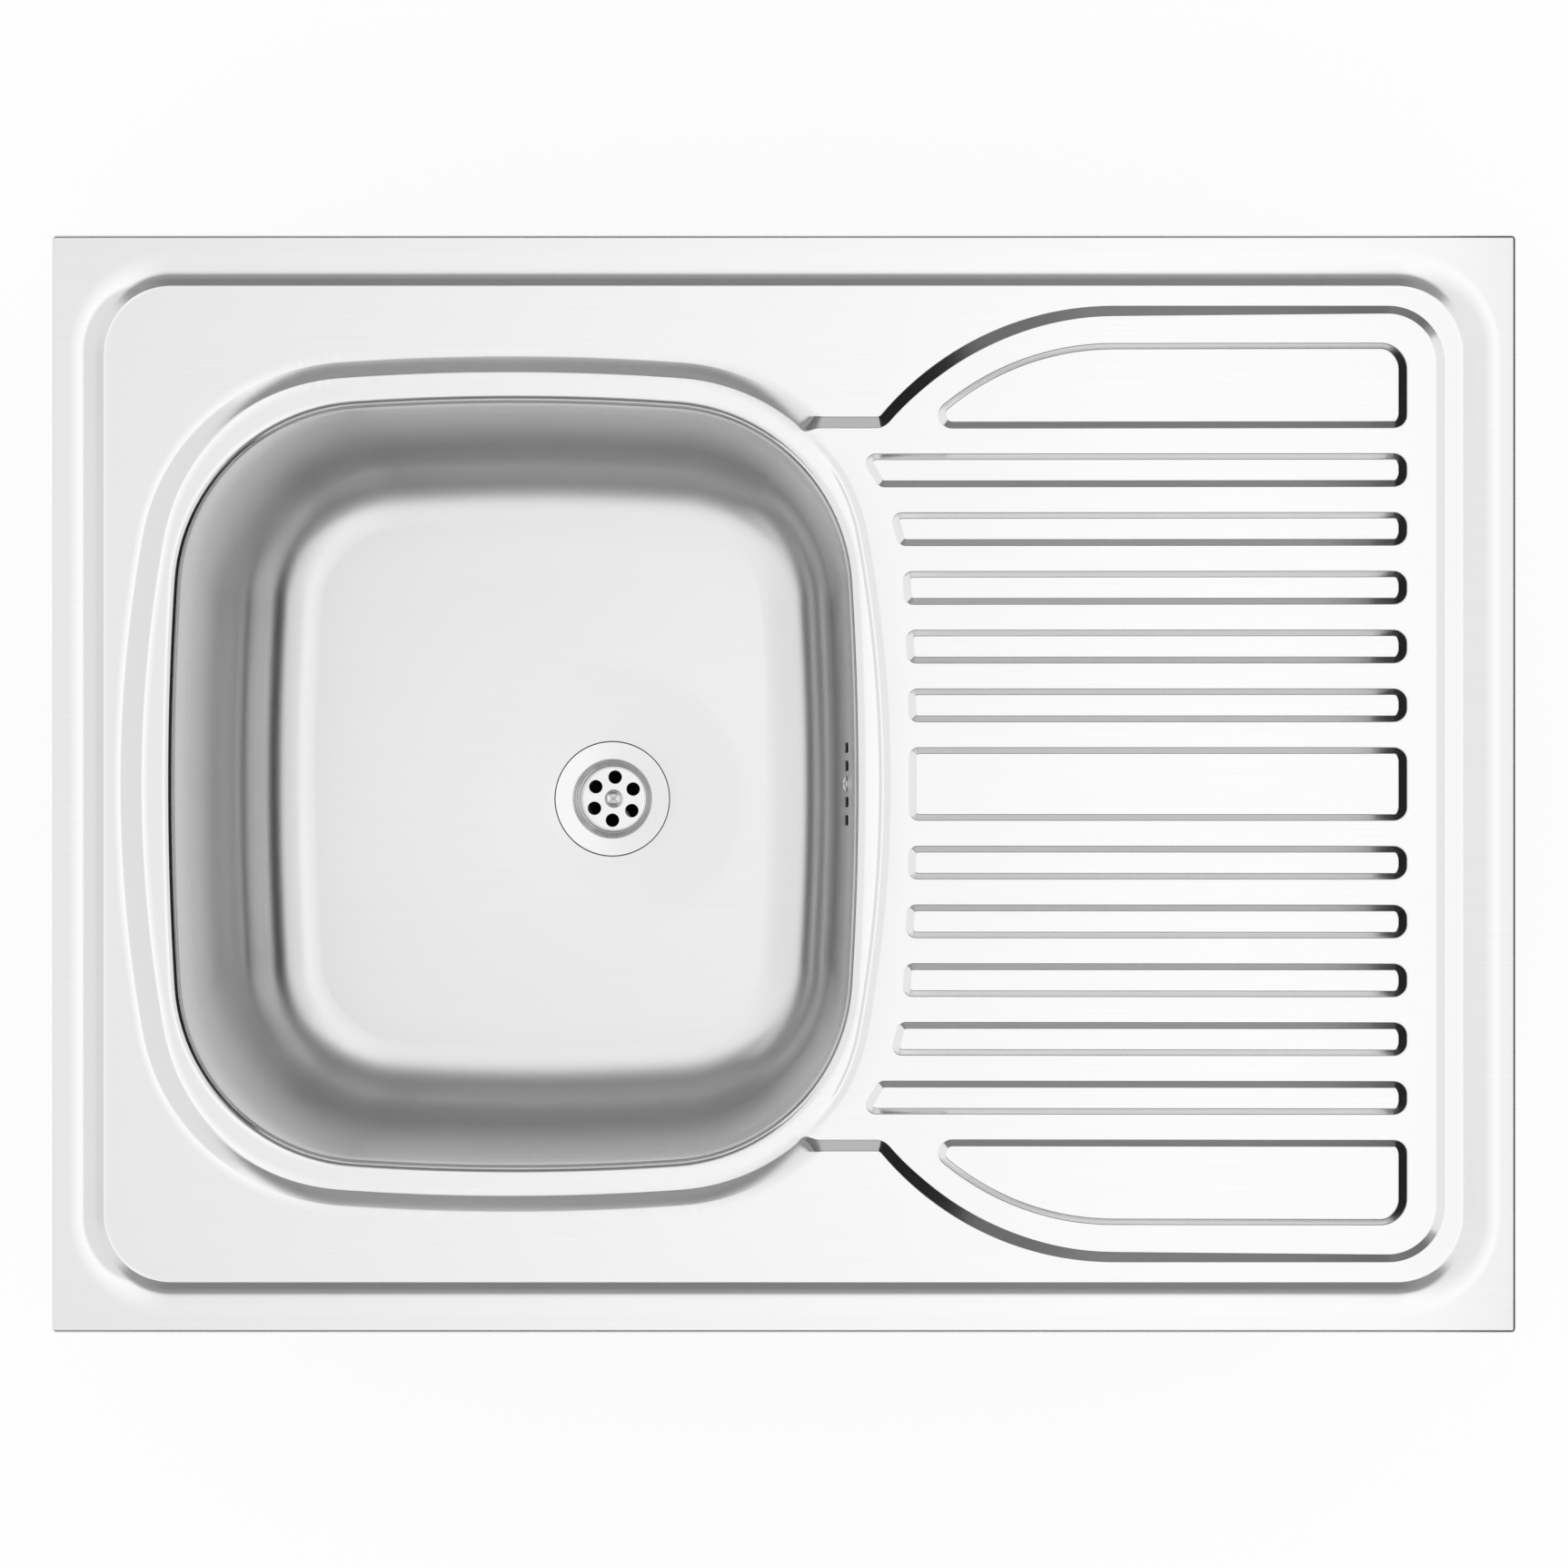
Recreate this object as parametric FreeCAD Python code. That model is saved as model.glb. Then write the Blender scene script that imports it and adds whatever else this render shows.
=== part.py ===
"""Lay-on kitchen sink: one pressed steel sheet with a bowl and a ribbed drainboard, and its fittings.

Millimetres. The origin is the middle of the plane in which the return flange lies on the base unit,
+X runs from the bowl to the drainboard, +Y to the wall behind the sink and +Z up.
"""
import FreeCAD, Part
import math
import os
from FreeCAD import Matrix, Placement, Rotation, Vector

# ---------------------------------------------------------------- driving sizes: the pressed sheet
LENGTH = 800.0            # along X
WIDTH = 600.0             # along Y
RIM_HEIGHT = 30.0         # skirt, from the seat up to the rim's face
SHEET = 0.8               # steel thickness
EDGE_R = 2.0              # outer bend of the skirt
FLANGE_WIDTH = 14.0       # return flange, from the skirt's face inwards

RIM_WIDTH = 16.5          # flat band between the skirt and the first step
RIM_STEP_RUN = 12.0       # plan width of the step from the rim to the deck
RIM_STEP = 6.5            # its height
RIM_CORNER_R = 47.5       # step's outer corner

DECK_MARGIN = 9.0         # deck left between the rim step and the basin
BASIN_STEP_RUN = 4.0      # plan width of the step round the basin, where it is deepest
BASIN_DEPTH = 5.4         # below the deck, at the bowl's end
BASIN_RISE = 2.2          # how much the floor climbs to its far end
BASIN_CORNER_R = 31.0     # far corners
BASIN_SWEEP_R = 166.0     # big arcs towards the bowl
BASIN_REACH = 24.8        # how far the big arcs would run on past the bowl's lip
NECK_INSET = 9.4          # sides of the opening into the bowl's ledge, in from the bowl's lip
NECK_CORNER_R = 26.0      # its corners, inside the bowl's ledge

LEDGE_DEPTH = 6.0         # ledge round the bowl, below the deck
LEDGE_MARGIN = 25.8       # ledge step's upper edge, out from the middle of the bowl's sides
LEDGE_SHIFT = -1.7        # its middle, along X from the bowl's
LEDGE_STEP_RUN = 9.5      # plan width of its step
LEDGE_SIDE_R = 765.0      # crown of its two sides across X
LEDGE_END_R = 1340.0      # crown of its front and back sides
LEDGE_CORNER_R = 117.0

BOWL_LENGTH = 377.2       # lip to lip along X
BOWL_END_MARGIN = 34.1    # from the rim step's foot to the bowl's left lip
BOWL_SIDE_MARGIN = 60.5   # from the rim step's foot to the front and back lips
BOWL_SIDE_R = 1800.0      # crown of the two sides across X
BOWL_END_R = 1290.0       # crown of the front and back sides
BOWL_CORNER_R = 103.0
BOWL_DEPTH = 150.0        # from the ledge to the floor
BOWL_DRAFT = 11.0         # how much the walls draw in over the depth
BOWL_FLOOR_R = 28.0       # bend from wall to floor
BOWL_LIP_R = 6.0          # roll from ledge to wall

# ribs and panels on the drainboard
RIB_HEIGHT = 3.0
RIB_FLANK = 3.5           # plan width of a rib's flank
RIB_END_GAP = 20.0        # from the basin's far edge to the ribs
RIB_CORNER_R = 4.5
RIB_WIDTH = 18.4
RIB_LEAST_GAP = 13.0      # floor between two ribs
RIB_START = 29.5          # near ends, out from the bowl's lip
CENTRE_PANEL_WIDTH = 40.3
LENS_SHORE = 20.0         # from the basin's edge in to the two outer panels
LENS_WIDTH = 46.8         # along Y, to their straight side
LENS_CORNER_R = 11.0
LENS_TIP_R = 4.0

# ---------------------------------------------------------------- driving sizes: the waste
WASTE_SHIFT_X = 43.2      # waste's axis, from the bowl's middle towards the drainboard
WASTE_Y = -9.1
FALL_R = 80.0             # the floor falls to the waste from this radius
FALL = 1.2
SEAT_DEPTH = 2.6          # pressed seat for the waste flange
SEAT_RUN = 2.2            # plan width of the seat's edge
SEAT_CLEARANCE = 0.8      # round the waste flange
SEAL_INSET = 0.9          # waste seals, in from the flange's edge
WASTE_HOLE_R = 27.0
WASTE_FLANGE_R = 35.0
WASTE_SHEET = 0.9
THROAT_R = 23.5
STRAINER_R = 19.4
STRAINER_DEPTH = 12.2     # plate below the flange
DISH_WIDTH = 7.0          # flat seat of the flange, from its edge in
DISH_DROP = 1.2
STRAINER_HOLE_R = 4.2
STRAINER_HOLE_CIRCLE_R = 13.4
STRAINER_HOLES = 6
STRAINER_FIRST_ANGLE = 86.4
SCREW_R = 3.0
SCREW_HEAD_R = 5.65
SCREW_HEAD = 2.8
HEAD_EDGE = 0.35          # height of a screw head's straight edge, as a share of the head
HEAD_SHOULDER = 0.75      # height of its shoulder
HEAD_SHOULDER_R = 0.85    # shoulder's radius, as a share of the head's
HEAD_FLAT_R = 0.55        # flat top's radius
RECESS_DEPTH = 0.6        # cross recess, as a share of the head's height
RECESS_WIDTH = 0.25       # its bars, as a share of their length
SCREW_HOLE_GAP = 0.3      # round a screw where it only passes through
THREAD_GAP = 0.05         # radial gap of a turning fit
FACE_GAP = 0.1            # between faces that turn on each other
TOP_SEAL = 1.0
UNDER_SEAL = 2.5

BODY_RIM_R = 35.5
BODY_RIM = 5.0
BODY_WALL = 3.0
BODY_R = 30.0
BODY_DEPTH = 32.0         # from its flange's face to the start of the outlet cone
OUTLET_CONE = 7.0
OUTLET_R = 23.9           # G 1 1/2 male thread
OUTLET_LENGTH = 28.0
OUTLET_WALL = 3.4
BOSS_R = 6.5
BOSS_LENGTH = 14.0
BOSS_TOP = 18.4           # below the body's flange face
WEB = 2.5
WEB_HEIGHT = 8.0
WEB_COUNT = 3
INSERT_R = 4.4
INSERT_LENGTH = 9.0
INLET_DROP = 20.4         # overflow inlet's axis below the body's flange face
INLET_REACH = 48.0        # its end, out from the body's axis

# ---------------------------------------------------------------- driving sizes: the overflow
OVERFLOW_DROP = 52.0      # middle of the slots below the ledge
SLOT_WIDTH = 6.0
SLOT_HEIGHT = 20.0
SLOT_PITCH = 10.4
SLOTS_EACH_SIDE = 2
OVERFLOW_SEAL = 2.5
SEAL_BAND = 4.0
HOUSING_WALL = 2.2
HOUSING_HALF_WIDTH = 30.0
HOUSING_HALF_HEIGHT = 17.0
HOUSING_BACK = 2.0        # housing behind the spigot's wall
PILLAR_R = 5.0
OVERFLOW_SCREW_R = 2.5
OVERFLOW_HEAD_R = 4.6
OVERFLOW_HEAD = 2.2
OVERFLOW_SCREW_LENGTH = 14.0
OVERFLOW_INSERT_R = 3.7
OVERFLOW_INSERT_LENGTH = 8.0

# hose unions, the same at both ends
SPIGOT_R = 11.0
SPIGOT_BORE_R = 8.0
SPIGOT_THREAD = 10.0
HOSE_SEAL = 2.0
COLLAR = 2.0
HOSE_R = 8.8
HOSE_WALL = 1.3
NUT_R = 14.0
NUT_LIP = 2.4
NUT_GRIPS = 8
NUT_GRIP_R = 1.75         # its grip grooves
NUT_GRIP_OUT = 0.7        # their axes, out from the nut's face
NUT_WALL_GAP = 2.0        # between the upper nut and the bowl
HOSE_BEND_R = 55.0

# ---------------------------------------------------------------- driving sizes: underside
CHANNEL_SHEET = 1.0
CHANNEL_FLANGE = 11.0
CHANNEL_WIDTH = 22.0      # across its web
CHANNEL_DEPTH = 12.0
CHANNEL_INSET = 15.6      # their ends, in from the neck's sides
CHANNEL_FROM_BOWL = 110.2 # from the bowl's right lip to the near channel's middle
CHANNEL_FROM_FAR = 77.5   # from the basin's far edge to the far channel's middle
ANGLE_SHEET = 1.2
ANGLE_LEG = 12.0
ANGLE_BEND_R = 3.0
PAD_THICKNESS = 2.0
PAD_LENGTH = 100.0        # along X
PAD_WIDTH = 240.0         # along Y
PAD_CORNER_R = 12.0
PAD_INSET = 4.0           # in from the floor's bend

BRACKET_SHEET = 1.5
BRACKET_WIDTH = 34.0
BRACKET_DROP = 42.0
BRACKET_HOOK = 8.0        # over the return flange
BRACKET_GAP = 2.0         # between the return flange's edge and the bracket's plate
BRACKET_PLACE = 110.0     # from the sink's front or back to a bracket's middle
BRACKET_HOLE_R = 2.25
BRACKET_HOLE_Y = 10.0     # round hole beside the slot
BRACKET_SLOT_WIDTH = 5.0
BRACKET_SLOT_HEIGHT = 20.0
BRACKET_HOLE_DROP = 22.0

LEAD = 1.0                # how far a cutting solid stands out past what it cuts

# ---------------------------------------------------------------- sizes worked out from those above
DECK = RIM_HEIGHT - RIM_STEP
LEDGE = DECK - LEDGE_DEPTH
BOWL_FLOOR = LEDGE - BOWL_DEPTH
HALF_LENGTH = LENGTH / 2
HALF_WIDTH = WIDTH / 2
RIM_INSIDE_X = HALF_LENGTH - RIM_WIDTH
RIM_INSIDE_Y = HALF_WIDTH - RIM_WIDTH
BASIN_FAR_X = RIM_INSIDE_X - RIM_STEP_RUN - DECK_MARGIN
BASIN_HALF_Y = RIM_INSIDE_Y - RIM_STEP_RUN - DECK_MARGIN
BOWL_HALF_X = BOWL_LENGTH / 2
BOWL_HALF_Y = RIM_INSIDE_Y - RIM_STEP_RUN - BOWL_SIDE_MARGIN
BOWL_X = -RIM_INSIDE_X + RIM_STEP_RUN + BOWL_END_MARGIN + BOWL_HALF_X
BOWL_RIGHT_X = BOWL_X + BOWL_HALF_X
BASIN_END_X = BOWL_RIGHT_X - BASIN_REACH
NECK_HALF_WIDTH = BOWL_HALF_Y - NECK_INSET
LEDGE_X = BOWL_X + LEDGE_SHIFT
LEDGE_HALF_X = BOWL_HALF_X + LEDGE_MARGIN
LEDGE_HALF_Y = BOWL_HALF_Y + LEDGE_MARGIN
FLOOR_START_X = LEDGE_X + LEDGE_HALF_X - LEDGE_STEP_RUN
FLOOR_TILT = math.degrees(math.atan2(BASIN_RISE, BASIN_FAR_X - FLOOR_START_X))
LENS_INNER_Y = BASIN_HALF_Y - LENS_SHORE - LENS_WIDTH
RIB_BAND = LENS_INNER_Y - CENTRE_PANEL_WIDTH / 2
RIB_COUNT = int((RIB_BAND - RIB_LEAST_GAP) / (RIB_WIDTH + RIB_LEAST_GAP))
RIB_PITCH = (RIB_BAND + RIB_WIDTH) / (RIB_COUNT + 1)
RIB_FIRST_Y = CENTRE_PANEL_WIDTH / 2 + RIB_PITCH - RIB_WIDTH / 2
WASTE_X = BOWL_X + WASTE_SHIFT_X
SEAT_R = WASTE_FLANGE_R + SEAT_CLEARANCE
SEAT_TOP_R = SEAT_R + SEAT_RUN
SEAT = BOWL_FLOOR - FALL - SEAT_DEPTH
WASTE_FLANGE = SEAT + TOP_SEAL
BODY_TOP = SEAT - SHEET - UNDER_SEAL
WASTE_AXIS = Vector(WASTE_X, WASTE_Y, 0)
WALL_LEAN = math.degrees(math.atan2(BOWL_DRAFT, BOWL_DEPTH))
SPIGOT_AXIS = NUT_R + NUT_WALL_GAP
HOUSING_DEPTH = SPIGOT_AXIS + SPIGOT_R + HOUSING_BACK
CHANNEL_LENGTH = 2 * (NECK_HALF_WIDTH - CHANNEL_INSET)
CHANNEL_XS = {"near": BOWL_RIGHT_X + CHANNEL_FROM_BOWL, "far": BASIN_FAR_X - CHANNEL_FROM_FAR}
BRACKET_Y = HALF_WIDTH - BRACKET_PLACE
UP = Vector(0, 0, 1)


# ---------------------------------------------------------------- outlines and plain solids
def at_angle(cx, cy, r, degrees, z):
    a = math.radians(degrees)
    return Vector(cx + r * math.cos(a), cy + r * math.sin(a), z)


def outline(arcs, z):
    """A closed outline of (centre x, centre y, radius, first angle, last angle) arcs, joined by lines."""
    edges, ends = [], []
    for cx, cy, r, first, last in arcs:
        three = [at_angle(cx, cy, r, angle, z) for angle in (first, (first + last) / 2, last)]
        edges.append(Part.Arc(*three).toShape())
        ends.append((three[0], three[2]))
    joined = []
    for i, edge in enumerate(edges):
        here, onward = ends[i][1], ends[(i + 1) % len(ends)][0]
        joined.append(edge)
        if here.distanceToPoint(onward) > 1e-6:
            joined.append(Part.LineSegment(here, onward).toShape())
    return Part.Wire(joined)


def rounded_rectangle(x0, x1, y0, y1, r_left, r_right, z):
    """A rectangle with one corner radius at its left corners and one at its right ones."""
    return outline([(x0 + r_left, y0 + r_left, r_left, 180, 270),
                    (x1 - r_right, y0 + r_right, r_right, 270, 360),
                    (x1 - r_right, y1 - r_right, r_right, 0, 90),
                    (x0 + r_left, y1 - r_left, r_left, 90, 180)], z)


def crowned_rectangle(x, half_x, half_y, side_r, end_r, corner_r, grow, z):
    """Four crowned sides joined by four tangent corner arcs, grown outwards: every arc keeps its centre."""
    a, b = side_r - half_x, end_r - half_y
    p, q = (side_r - corner_r) ** 2, (end_r - corner_r) ** 2
    # a corner's centre lies at set distances from the centres of its two crowns
    m, c = a / b, (a * a - b * b - p + q) / (2 * b)
    half_b = a + m * c
    u = (-half_b + math.sqrt(half_b ** 2 - (1 + m * m) * (a * a + c * c - p))) / (1 + m * m)
    v = m * u + c
    low = math.degrees(math.atan2(v, u + a))
    high = math.degrees(math.atan2(v + b, u))
    side, end, corner = side_r + grow, end_r + grow, corner_r + grow
    quarters = [((x - a, 0, side, -low, low), (x + u, v, corner, low, high)),
                ((x, -b, end, high, 180 - high), (x - u, v, corner, 180 - high, 180 - low)),
                ((x + a, 0, side, 180 - low, 180 + low), (x - u, -v, corner, 180 + low, 180 + high)),
                ((x, b, end, 180 + high, 360 - high), (x + u, -v, corner, 360 - high, 360 - low))]
    return outline([arc for quarter in quarters for arc in quarter], z)


def bowl_outline(z, grow):
    return crowned_rectangle(BOWL_X, BOWL_HALF_X, BOWL_HALF_Y,
                             BOWL_SIDE_R, BOWL_END_R, BOWL_CORNER_R, grow, z)


def ledge_outline(z, grow):
    return crowned_rectangle(LEDGE_X, LEDGE_HALF_X, LEDGE_HALF_Y,
                             LEDGE_SIDE_R, LEDGE_END_R, LEDGE_CORNER_R, grow, z)


def rim_outline(z, grow):
    x, y, r = RIM_INSIDE_X + grow, RIM_INSIDE_Y + grow, RIM_CORNER_R + grow
    return rounded_rectangle(-x, x, -y, y, r, r, z)


def basin_outline(z, grow):
    y = BASIN_HALF_Y + grow
    return rounded_rectangle(BASIN_END_X - grow, BASIN_FAR_X + grow, -y, y,
                             BASIN_SWEEP_R + grow, BASIN_CORNER_R + grow, z)


def neck_outline(z, grow):
    y = NECK_HALF_WIDTH + grow
    far = BASIN_END_X + BASIN_SWEEP_R
    corner_r = NECK_CORNER_R + grow
    return rounded_rectangle(BOWL_X, far, -y, y, corner_r, corner_r, z)


def tapered(shape_of, z_high, grow_high, z_low, grow_low):
    return Part.makeLoft([shape_of(z_high, grow_high), shape_of(z_low, grow_low)], True, True)


def pocket(shape_of, z_high, grow_high, z_low, grow_low, depth, lead):
    """The space above a sunk area, with its surface moved into the steel by depth.

    Each bend moves out by depth times the tangent of half its angle, so the sheet keeps its thickness
    on the slopes. The walls run on upwards by lead.
    """
    rise, run = z_high - z_low, grow_high - grow_low
    out = depth * math.tan(math.atan2(rise, run) / 2)
    return tapered(shape_of, z_high - depth + lead, grow_high + out + lead * run / rise,
                   z_low - depth, grow_low + out)


def edges_at(shape, z):
    return [e for e in shape.Edges if all(abs(v.Z - z) < 1e-6 for v in e.Vertexes)]


def middle_of(edge):
    return edge.valueAt((edge.FirstParameter + edge.LastParameter) / 2)


def box(x0, x1, y0, y1, z0, z1):
    return Part.makeBox(x1 - x0, y1 - y0, z1 - z0, Vector(x0, y0, z0))


def cylinder(r, z0, z1, centre=Vector()):
    return Part.makeCylinder(r, z1 - z0, centre + Vector(0, 0, z0), UP)


def spin(points, centre=Vector()):
    """A closed outline of (radius, height) points turned about an upright axis."""
    corners = [Vector(r, 0, z) for r, z in points]
    solid = Part.Face(Part.makePolygon(corners + corners[:1])).revolve(Vector(), UP, 360)
    solid.translate(centre)
    return solid


def polar(shape, centre, count, first=0.0):
    """Copies of a shape turned evenly about an upright axis."""
    copies = []
    for i in range(count):
        copy = shape.copy()
        copy.rotate(centre, UP, first + 360.0 * i / count)
        copies.append(copy)
    return copies


def mirror_y(shape):
    return shape.mirror(Vector(), Vector(0, 1, 0))


# ---------------------------------------------------------------- the drainboard's tilted floor
def tilt(shape):
    """Turn a shape drawn on a level floor on to the drainboard's floor, which climbs away from the bowl."""
    shape = shape.copy()
    shape.translate(Vector(0, 0, DECK - BASIN_DEPTH))
    shape.rotate(Vector(FLOOR_START_X, 0, DECK - BASIN_DEPTH), Vector(0, 1, 0), -FLOOR_TILT)
    return shape


def raised(shape_of, depth):
    """A raised panel drawn on a level floor at height 0: flanks that lean in, open below."""
    out = depth * math.tan(math.atan2(RIB_HEIGHT, RIB_FLANK) / 2)
    below = RIB_HEIGHT
    spread = below * RIB_FLANK / RIB_HEIGHT
    return tapered(shape_of, RIB_HEIGHT - depth, -RIB_FLANK - out, -depth - below, spread - out)


def rib(y, width, depth):
    def base(z, grow):
        half, corner_r = width / 2 + grow, RIB_CORNER_R + RIB_FLANK + grow
        return rounded_rectangle(BOWL_X, BASIN_FAR_X - RIB_END_GAP + grow, y - half, y + half,
                                 corner_r, corner_r, z)
    return raised(base, depth)


def lens_outline(z, grow):
    """The outer panel: the basin's big arc and far corner drawn in, cut straight towards the ribs."""
    sweep_x, sweep_y = BASIN_END_X + BASIN_SWEEP_R, BASIN_HALF_Y - BASIN_SWEEP_R
    sweep_r, far = BASIN_SWEEP_R - LENS_SHORE + grow, BASIN_FAR_X - RIB_END_GAP + grow
    corner_r, small_r = LENS_CORNER_R + RIB_FLANK + grow, RIB_CORNER_R + RIB_FLANK + grow
    tip_r, low = LENS_TIP_R + RIB_FLANK + grow, LENS_INNER_Y - grow
    tip_y = low + tip_r
    tip_x = sweep_x - math.sqrt((sweep_r - tip_r) ** 2 - (tip_y - sweep_y) ** 2)
    turn = math.degrees(math.atan2(tip_y - sweep_y, tip_x - sweep_x))
    return outline([(tip_x, tip_y, tip_r, turn, 270), (far - small_r, low + small_r, small_r, 270, 360),
                    (far - corner_r, sweep_y + sweep_r - corner_r, corner_r, 0, 90),
                    (sweep_x, sweep_y, sweep_r, 90, turn)], z)


def drainboard_space(depth):
    """The space above the drainboard: the basin and its neck down to the tilted floor, less the ribs."""
    run = BASIN_STEP_RUN / BASIN_DEPTH
    low = DECK - LEDGE_DEPTH - LEAD
    space = pocket(basin_outline, DECK, 0, low, -run * (DECK - low), depth, LEAD)
    space = space.fuse(pocket(neck_outline, DECK, 0, low, -run * (DECK - low), depth, LEAD))
    floor = box(BOWL_X - LENGTH, LENGTH, -WIDTH, WIDTH, -RIM_HEIGHT, -depth)
    panels = [rib(0, CENTRE_PANEL_WIDTH, depth)]
    for i in range(RIB_COUNT):
        one = rib(RIB_FIRST_Y + i * RIB_PITCH, RIB_WIDTH, depth)
        panels += [one, mirror_y(one)]
    out = depth * math.tan(math.atan2(RIB_HEIGHT, RIB_FLANK) / 2)
    shore = tapered(bowl_outline, RIB_HEIGHT + LEAD, RIB_START + RIB_FLANK + out + LEAD,
                    -RIB_HEIGHT - LEAD, RIB_START - RIB_FLANK + out - LEAD)
    panels = [p.cut(shore) for p in panels]
    one = raised(lens_outline, depth)
    panels += [one, mirror_y(one)]
    return space.cut([tilt(s) for s in [floor] + panels])


# ---------------------------------------------------------------- the bowl
def bowl_space(depth):
    """The space in the bowl and above its ledge, with the bends at lip and floor."""
    bowl = pocket(bowl_outline, LEDGE, 0, BOWL_FLOOR, -BOWL_DRAFT, depth, LEAD)
    bowl = bowl.makeFillet(BOWL_FLOOR_R + depth, edges_at(bowl, BOWL_FLOOR - depth))
    ledge = pocket(ledge_outline, DECK, 0, LEDGE, -LEDGE_STEP_RUN, depth, LEAD)
    both = ledge.fuse(bowl).removeSplitter()
    near_lip = Part.Face(bowl_outline(LEDGE - depth, BOWL_LIP_R))
    lip = [e for e in edges_at(both, LEDGE - depth) if near_lip.isInside(middle_of(e), SHEET, True)]
    both = both.makeFillet(BOWL_LIP_R - depth, lip)
    return both.fuse(waste_space(depth))


def waste_space(depth):
    """The fall round the waste and the pressed seat of its flange."""
    fall_out = depth * math.tan(math.atan2(FALL, FALL_R - SEAT_TOP_R) / 2)
    seat_out = depth * math.tan(math.atan2(SEAT_DEPTH, SEAT_RUN) / 2)
    top = BOWL_FLOOR - depth
    return spin([(0, top + LEAD), (FALL_R, top + LEAD), (FALL_R + fall_out, top),
                 (SEAT_TOP_R + seat_out, top - FALL), (SEAT_R + seat_out, SEAT - depth), (0, SEAT - depth)],
                WASTE_AXIS)


# ---------------------------------------------------------------- the overflow's own frame
def overflow_place(out=0.0, up=0.0):
    """On the bowl's outside at the overflow: local +X out through the leaning wall, local +Z up along it."""
    middle = Vector(BOWL_RIGHT_X - BOWL_DRAFT * OVERFLOW_DROP / BOWL_DEPTH, 0, LEDGE - OVERFLOW_DROP)
    turn = Rotation(Vector(0, 1, 0), WALL_LEAN)
    return Placement(middle + turn.multVec(Vector(SHEET + out, 0, up)), turn)


def placed(shape, placement):
    shape = shape.copy()
    shape.Placement = placement.multiply(shape.Placement)
    return shape


def lying_slot(width, height, x0, x1, y, z=0.0):
    """A slot with round ends, upright along Z, cut through along X."""
    straight = (height - width) / 2
    solid = box(x0, x1, y - width / 2, y + width / 2, z - straight, z + straight)
    ends = [Part.makeCylinder(width / 2, x1 - x0, Vector(x0, y, z + s * straight), Vector(1, 0, 0))
            for s in (1, -1)]
    return solid.fuse(ends)


def lying_cylinder(r, x0, x1, y=0.0, z=0.0):
    return Part.makeCylinder(r, x1 - x0, Vector(x0, y, z), Vector(1, 0, 0))


def overflow_cuts():
    reach = BOWL_DRAFT
    cuts = [lying_slot(SLOT_WIDTH, SLOT_HEIGHT, -reach, reach, side * i * SLOT_PITCH)
            for side in (1, -1) for i in range(1, SLOTS_EACH_SIDE + 1)]
    cuts.append(lying_cylinder(OVERFLOW_SCREW_R + SCREW_HOLE_GAP, -reach, reach))
    return [placed(c, overflow_place()) for c in cuts]


# ---------------------------------------------------------------- the pressed sheet
def surround(depth):
    """The block inside the skirt and under the rim, all its edges bent."""
    block = box(depth - HALF_LENGTH, HALF_LENGTH - depth, depth - HALF_WIDTH, HALF_WIDTH - depth,
                depth, RIM_HEIGHT - depth)
    return block.makeFillet(EDGE_R - depth, block.Edges)


def space_above(depth, lead):
    recess = pocket(rim_outline, RIM_HEIGHT, 0, DECK, -RIM_STEP_RUN, depth, lead)
    return recess.fuse([drainboard_space(depth), bowl_space(depth)])


def sink_pressing():
    well = box(FLANGE_WIDTH - HALF_LENGTH, HALF_LENGTH - FLANGE_WIDTH,
               FLANGE_WIDTH - HALF_WIDTH, HALF_WIDTH - FLANGE_WIDTH, -LEAD, SHEET + LEAD)
    skirt = surround(0).cut([surround(SHEET), well])
    sheet = skirt.fuse(space_above(SHEET, 0)).cut(space_above(0, LEAD))
    hole = cylinder(WASTE_HOLE_R, SEAT - 2 * SHEET, SEAT + SHEET, WASTE_AXIS)
    return sheet.cut([hole] + overflow_cuts()).removeSplitter()


# ---------------------------------------------------------------- the waste
def waste_flange():
    """Spun steel: flange, dished throat, cup and strainer plate in one."""
    w, inner = WASTE_SHEET, WASTE_FLANGE_R - DISH_WIDTH
    cup_top = -DISH_DROP - SEAT_DEPTH
    cup_low = -STRAINER_DEPTH + w
    top = [(WASTE_FLANGE_R, w / 2), (WASTE_FLANGE_R - w / 2, w), (inner, w), (THROAT_R + w, -DISH_DROP),
           (THROAT_R, cup_top), (STRAINER_R + 2 * w, cup_low), (STRAINER_R, -STRAINER_DEPTH),
           (0, -STRAINER_DEPTH)]
    under = [(0, -STRAINER_DEPTH - w), (STRAINER_R + w / 2, -STRAINER_DEPTH - w),
             (STRAINER_R + 3 * w, cup_low - w / 2), (THROAT_R + w, cup_top - w / 4),
             (THROAT_R + 2 * w, -DISH_DROP - w / 2), (inner - w / 2, 0), (WASTE_FLANGE_R, 0)]
    cup = spin([(r, z + WASTE_FLANGE) for r, z in top + under], WASTE_AXIS)
    z_plate = WASTE_FLANGE - STRAINER_DEPTH
    drill = cylinder(STRAINER_HOLE_R, z_plate - 2 * w, z_plate + w,
                     WASTE_AXIS + Vector(STRAINER_HOLE_CIRCLE_R, 0, 0))
    holes = polar(drill, WASTE_AXIS, STRAINER_HOLES, STRAINER_FIRST_ANGLE)
    screw_hole = cylinder(SCREW_R + SCREW_HOLE_GAP, z_plate - 2 * w, z_plate + w, WASTE_AXIS)
    return cup.cut(holes + [screw_hole])


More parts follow.
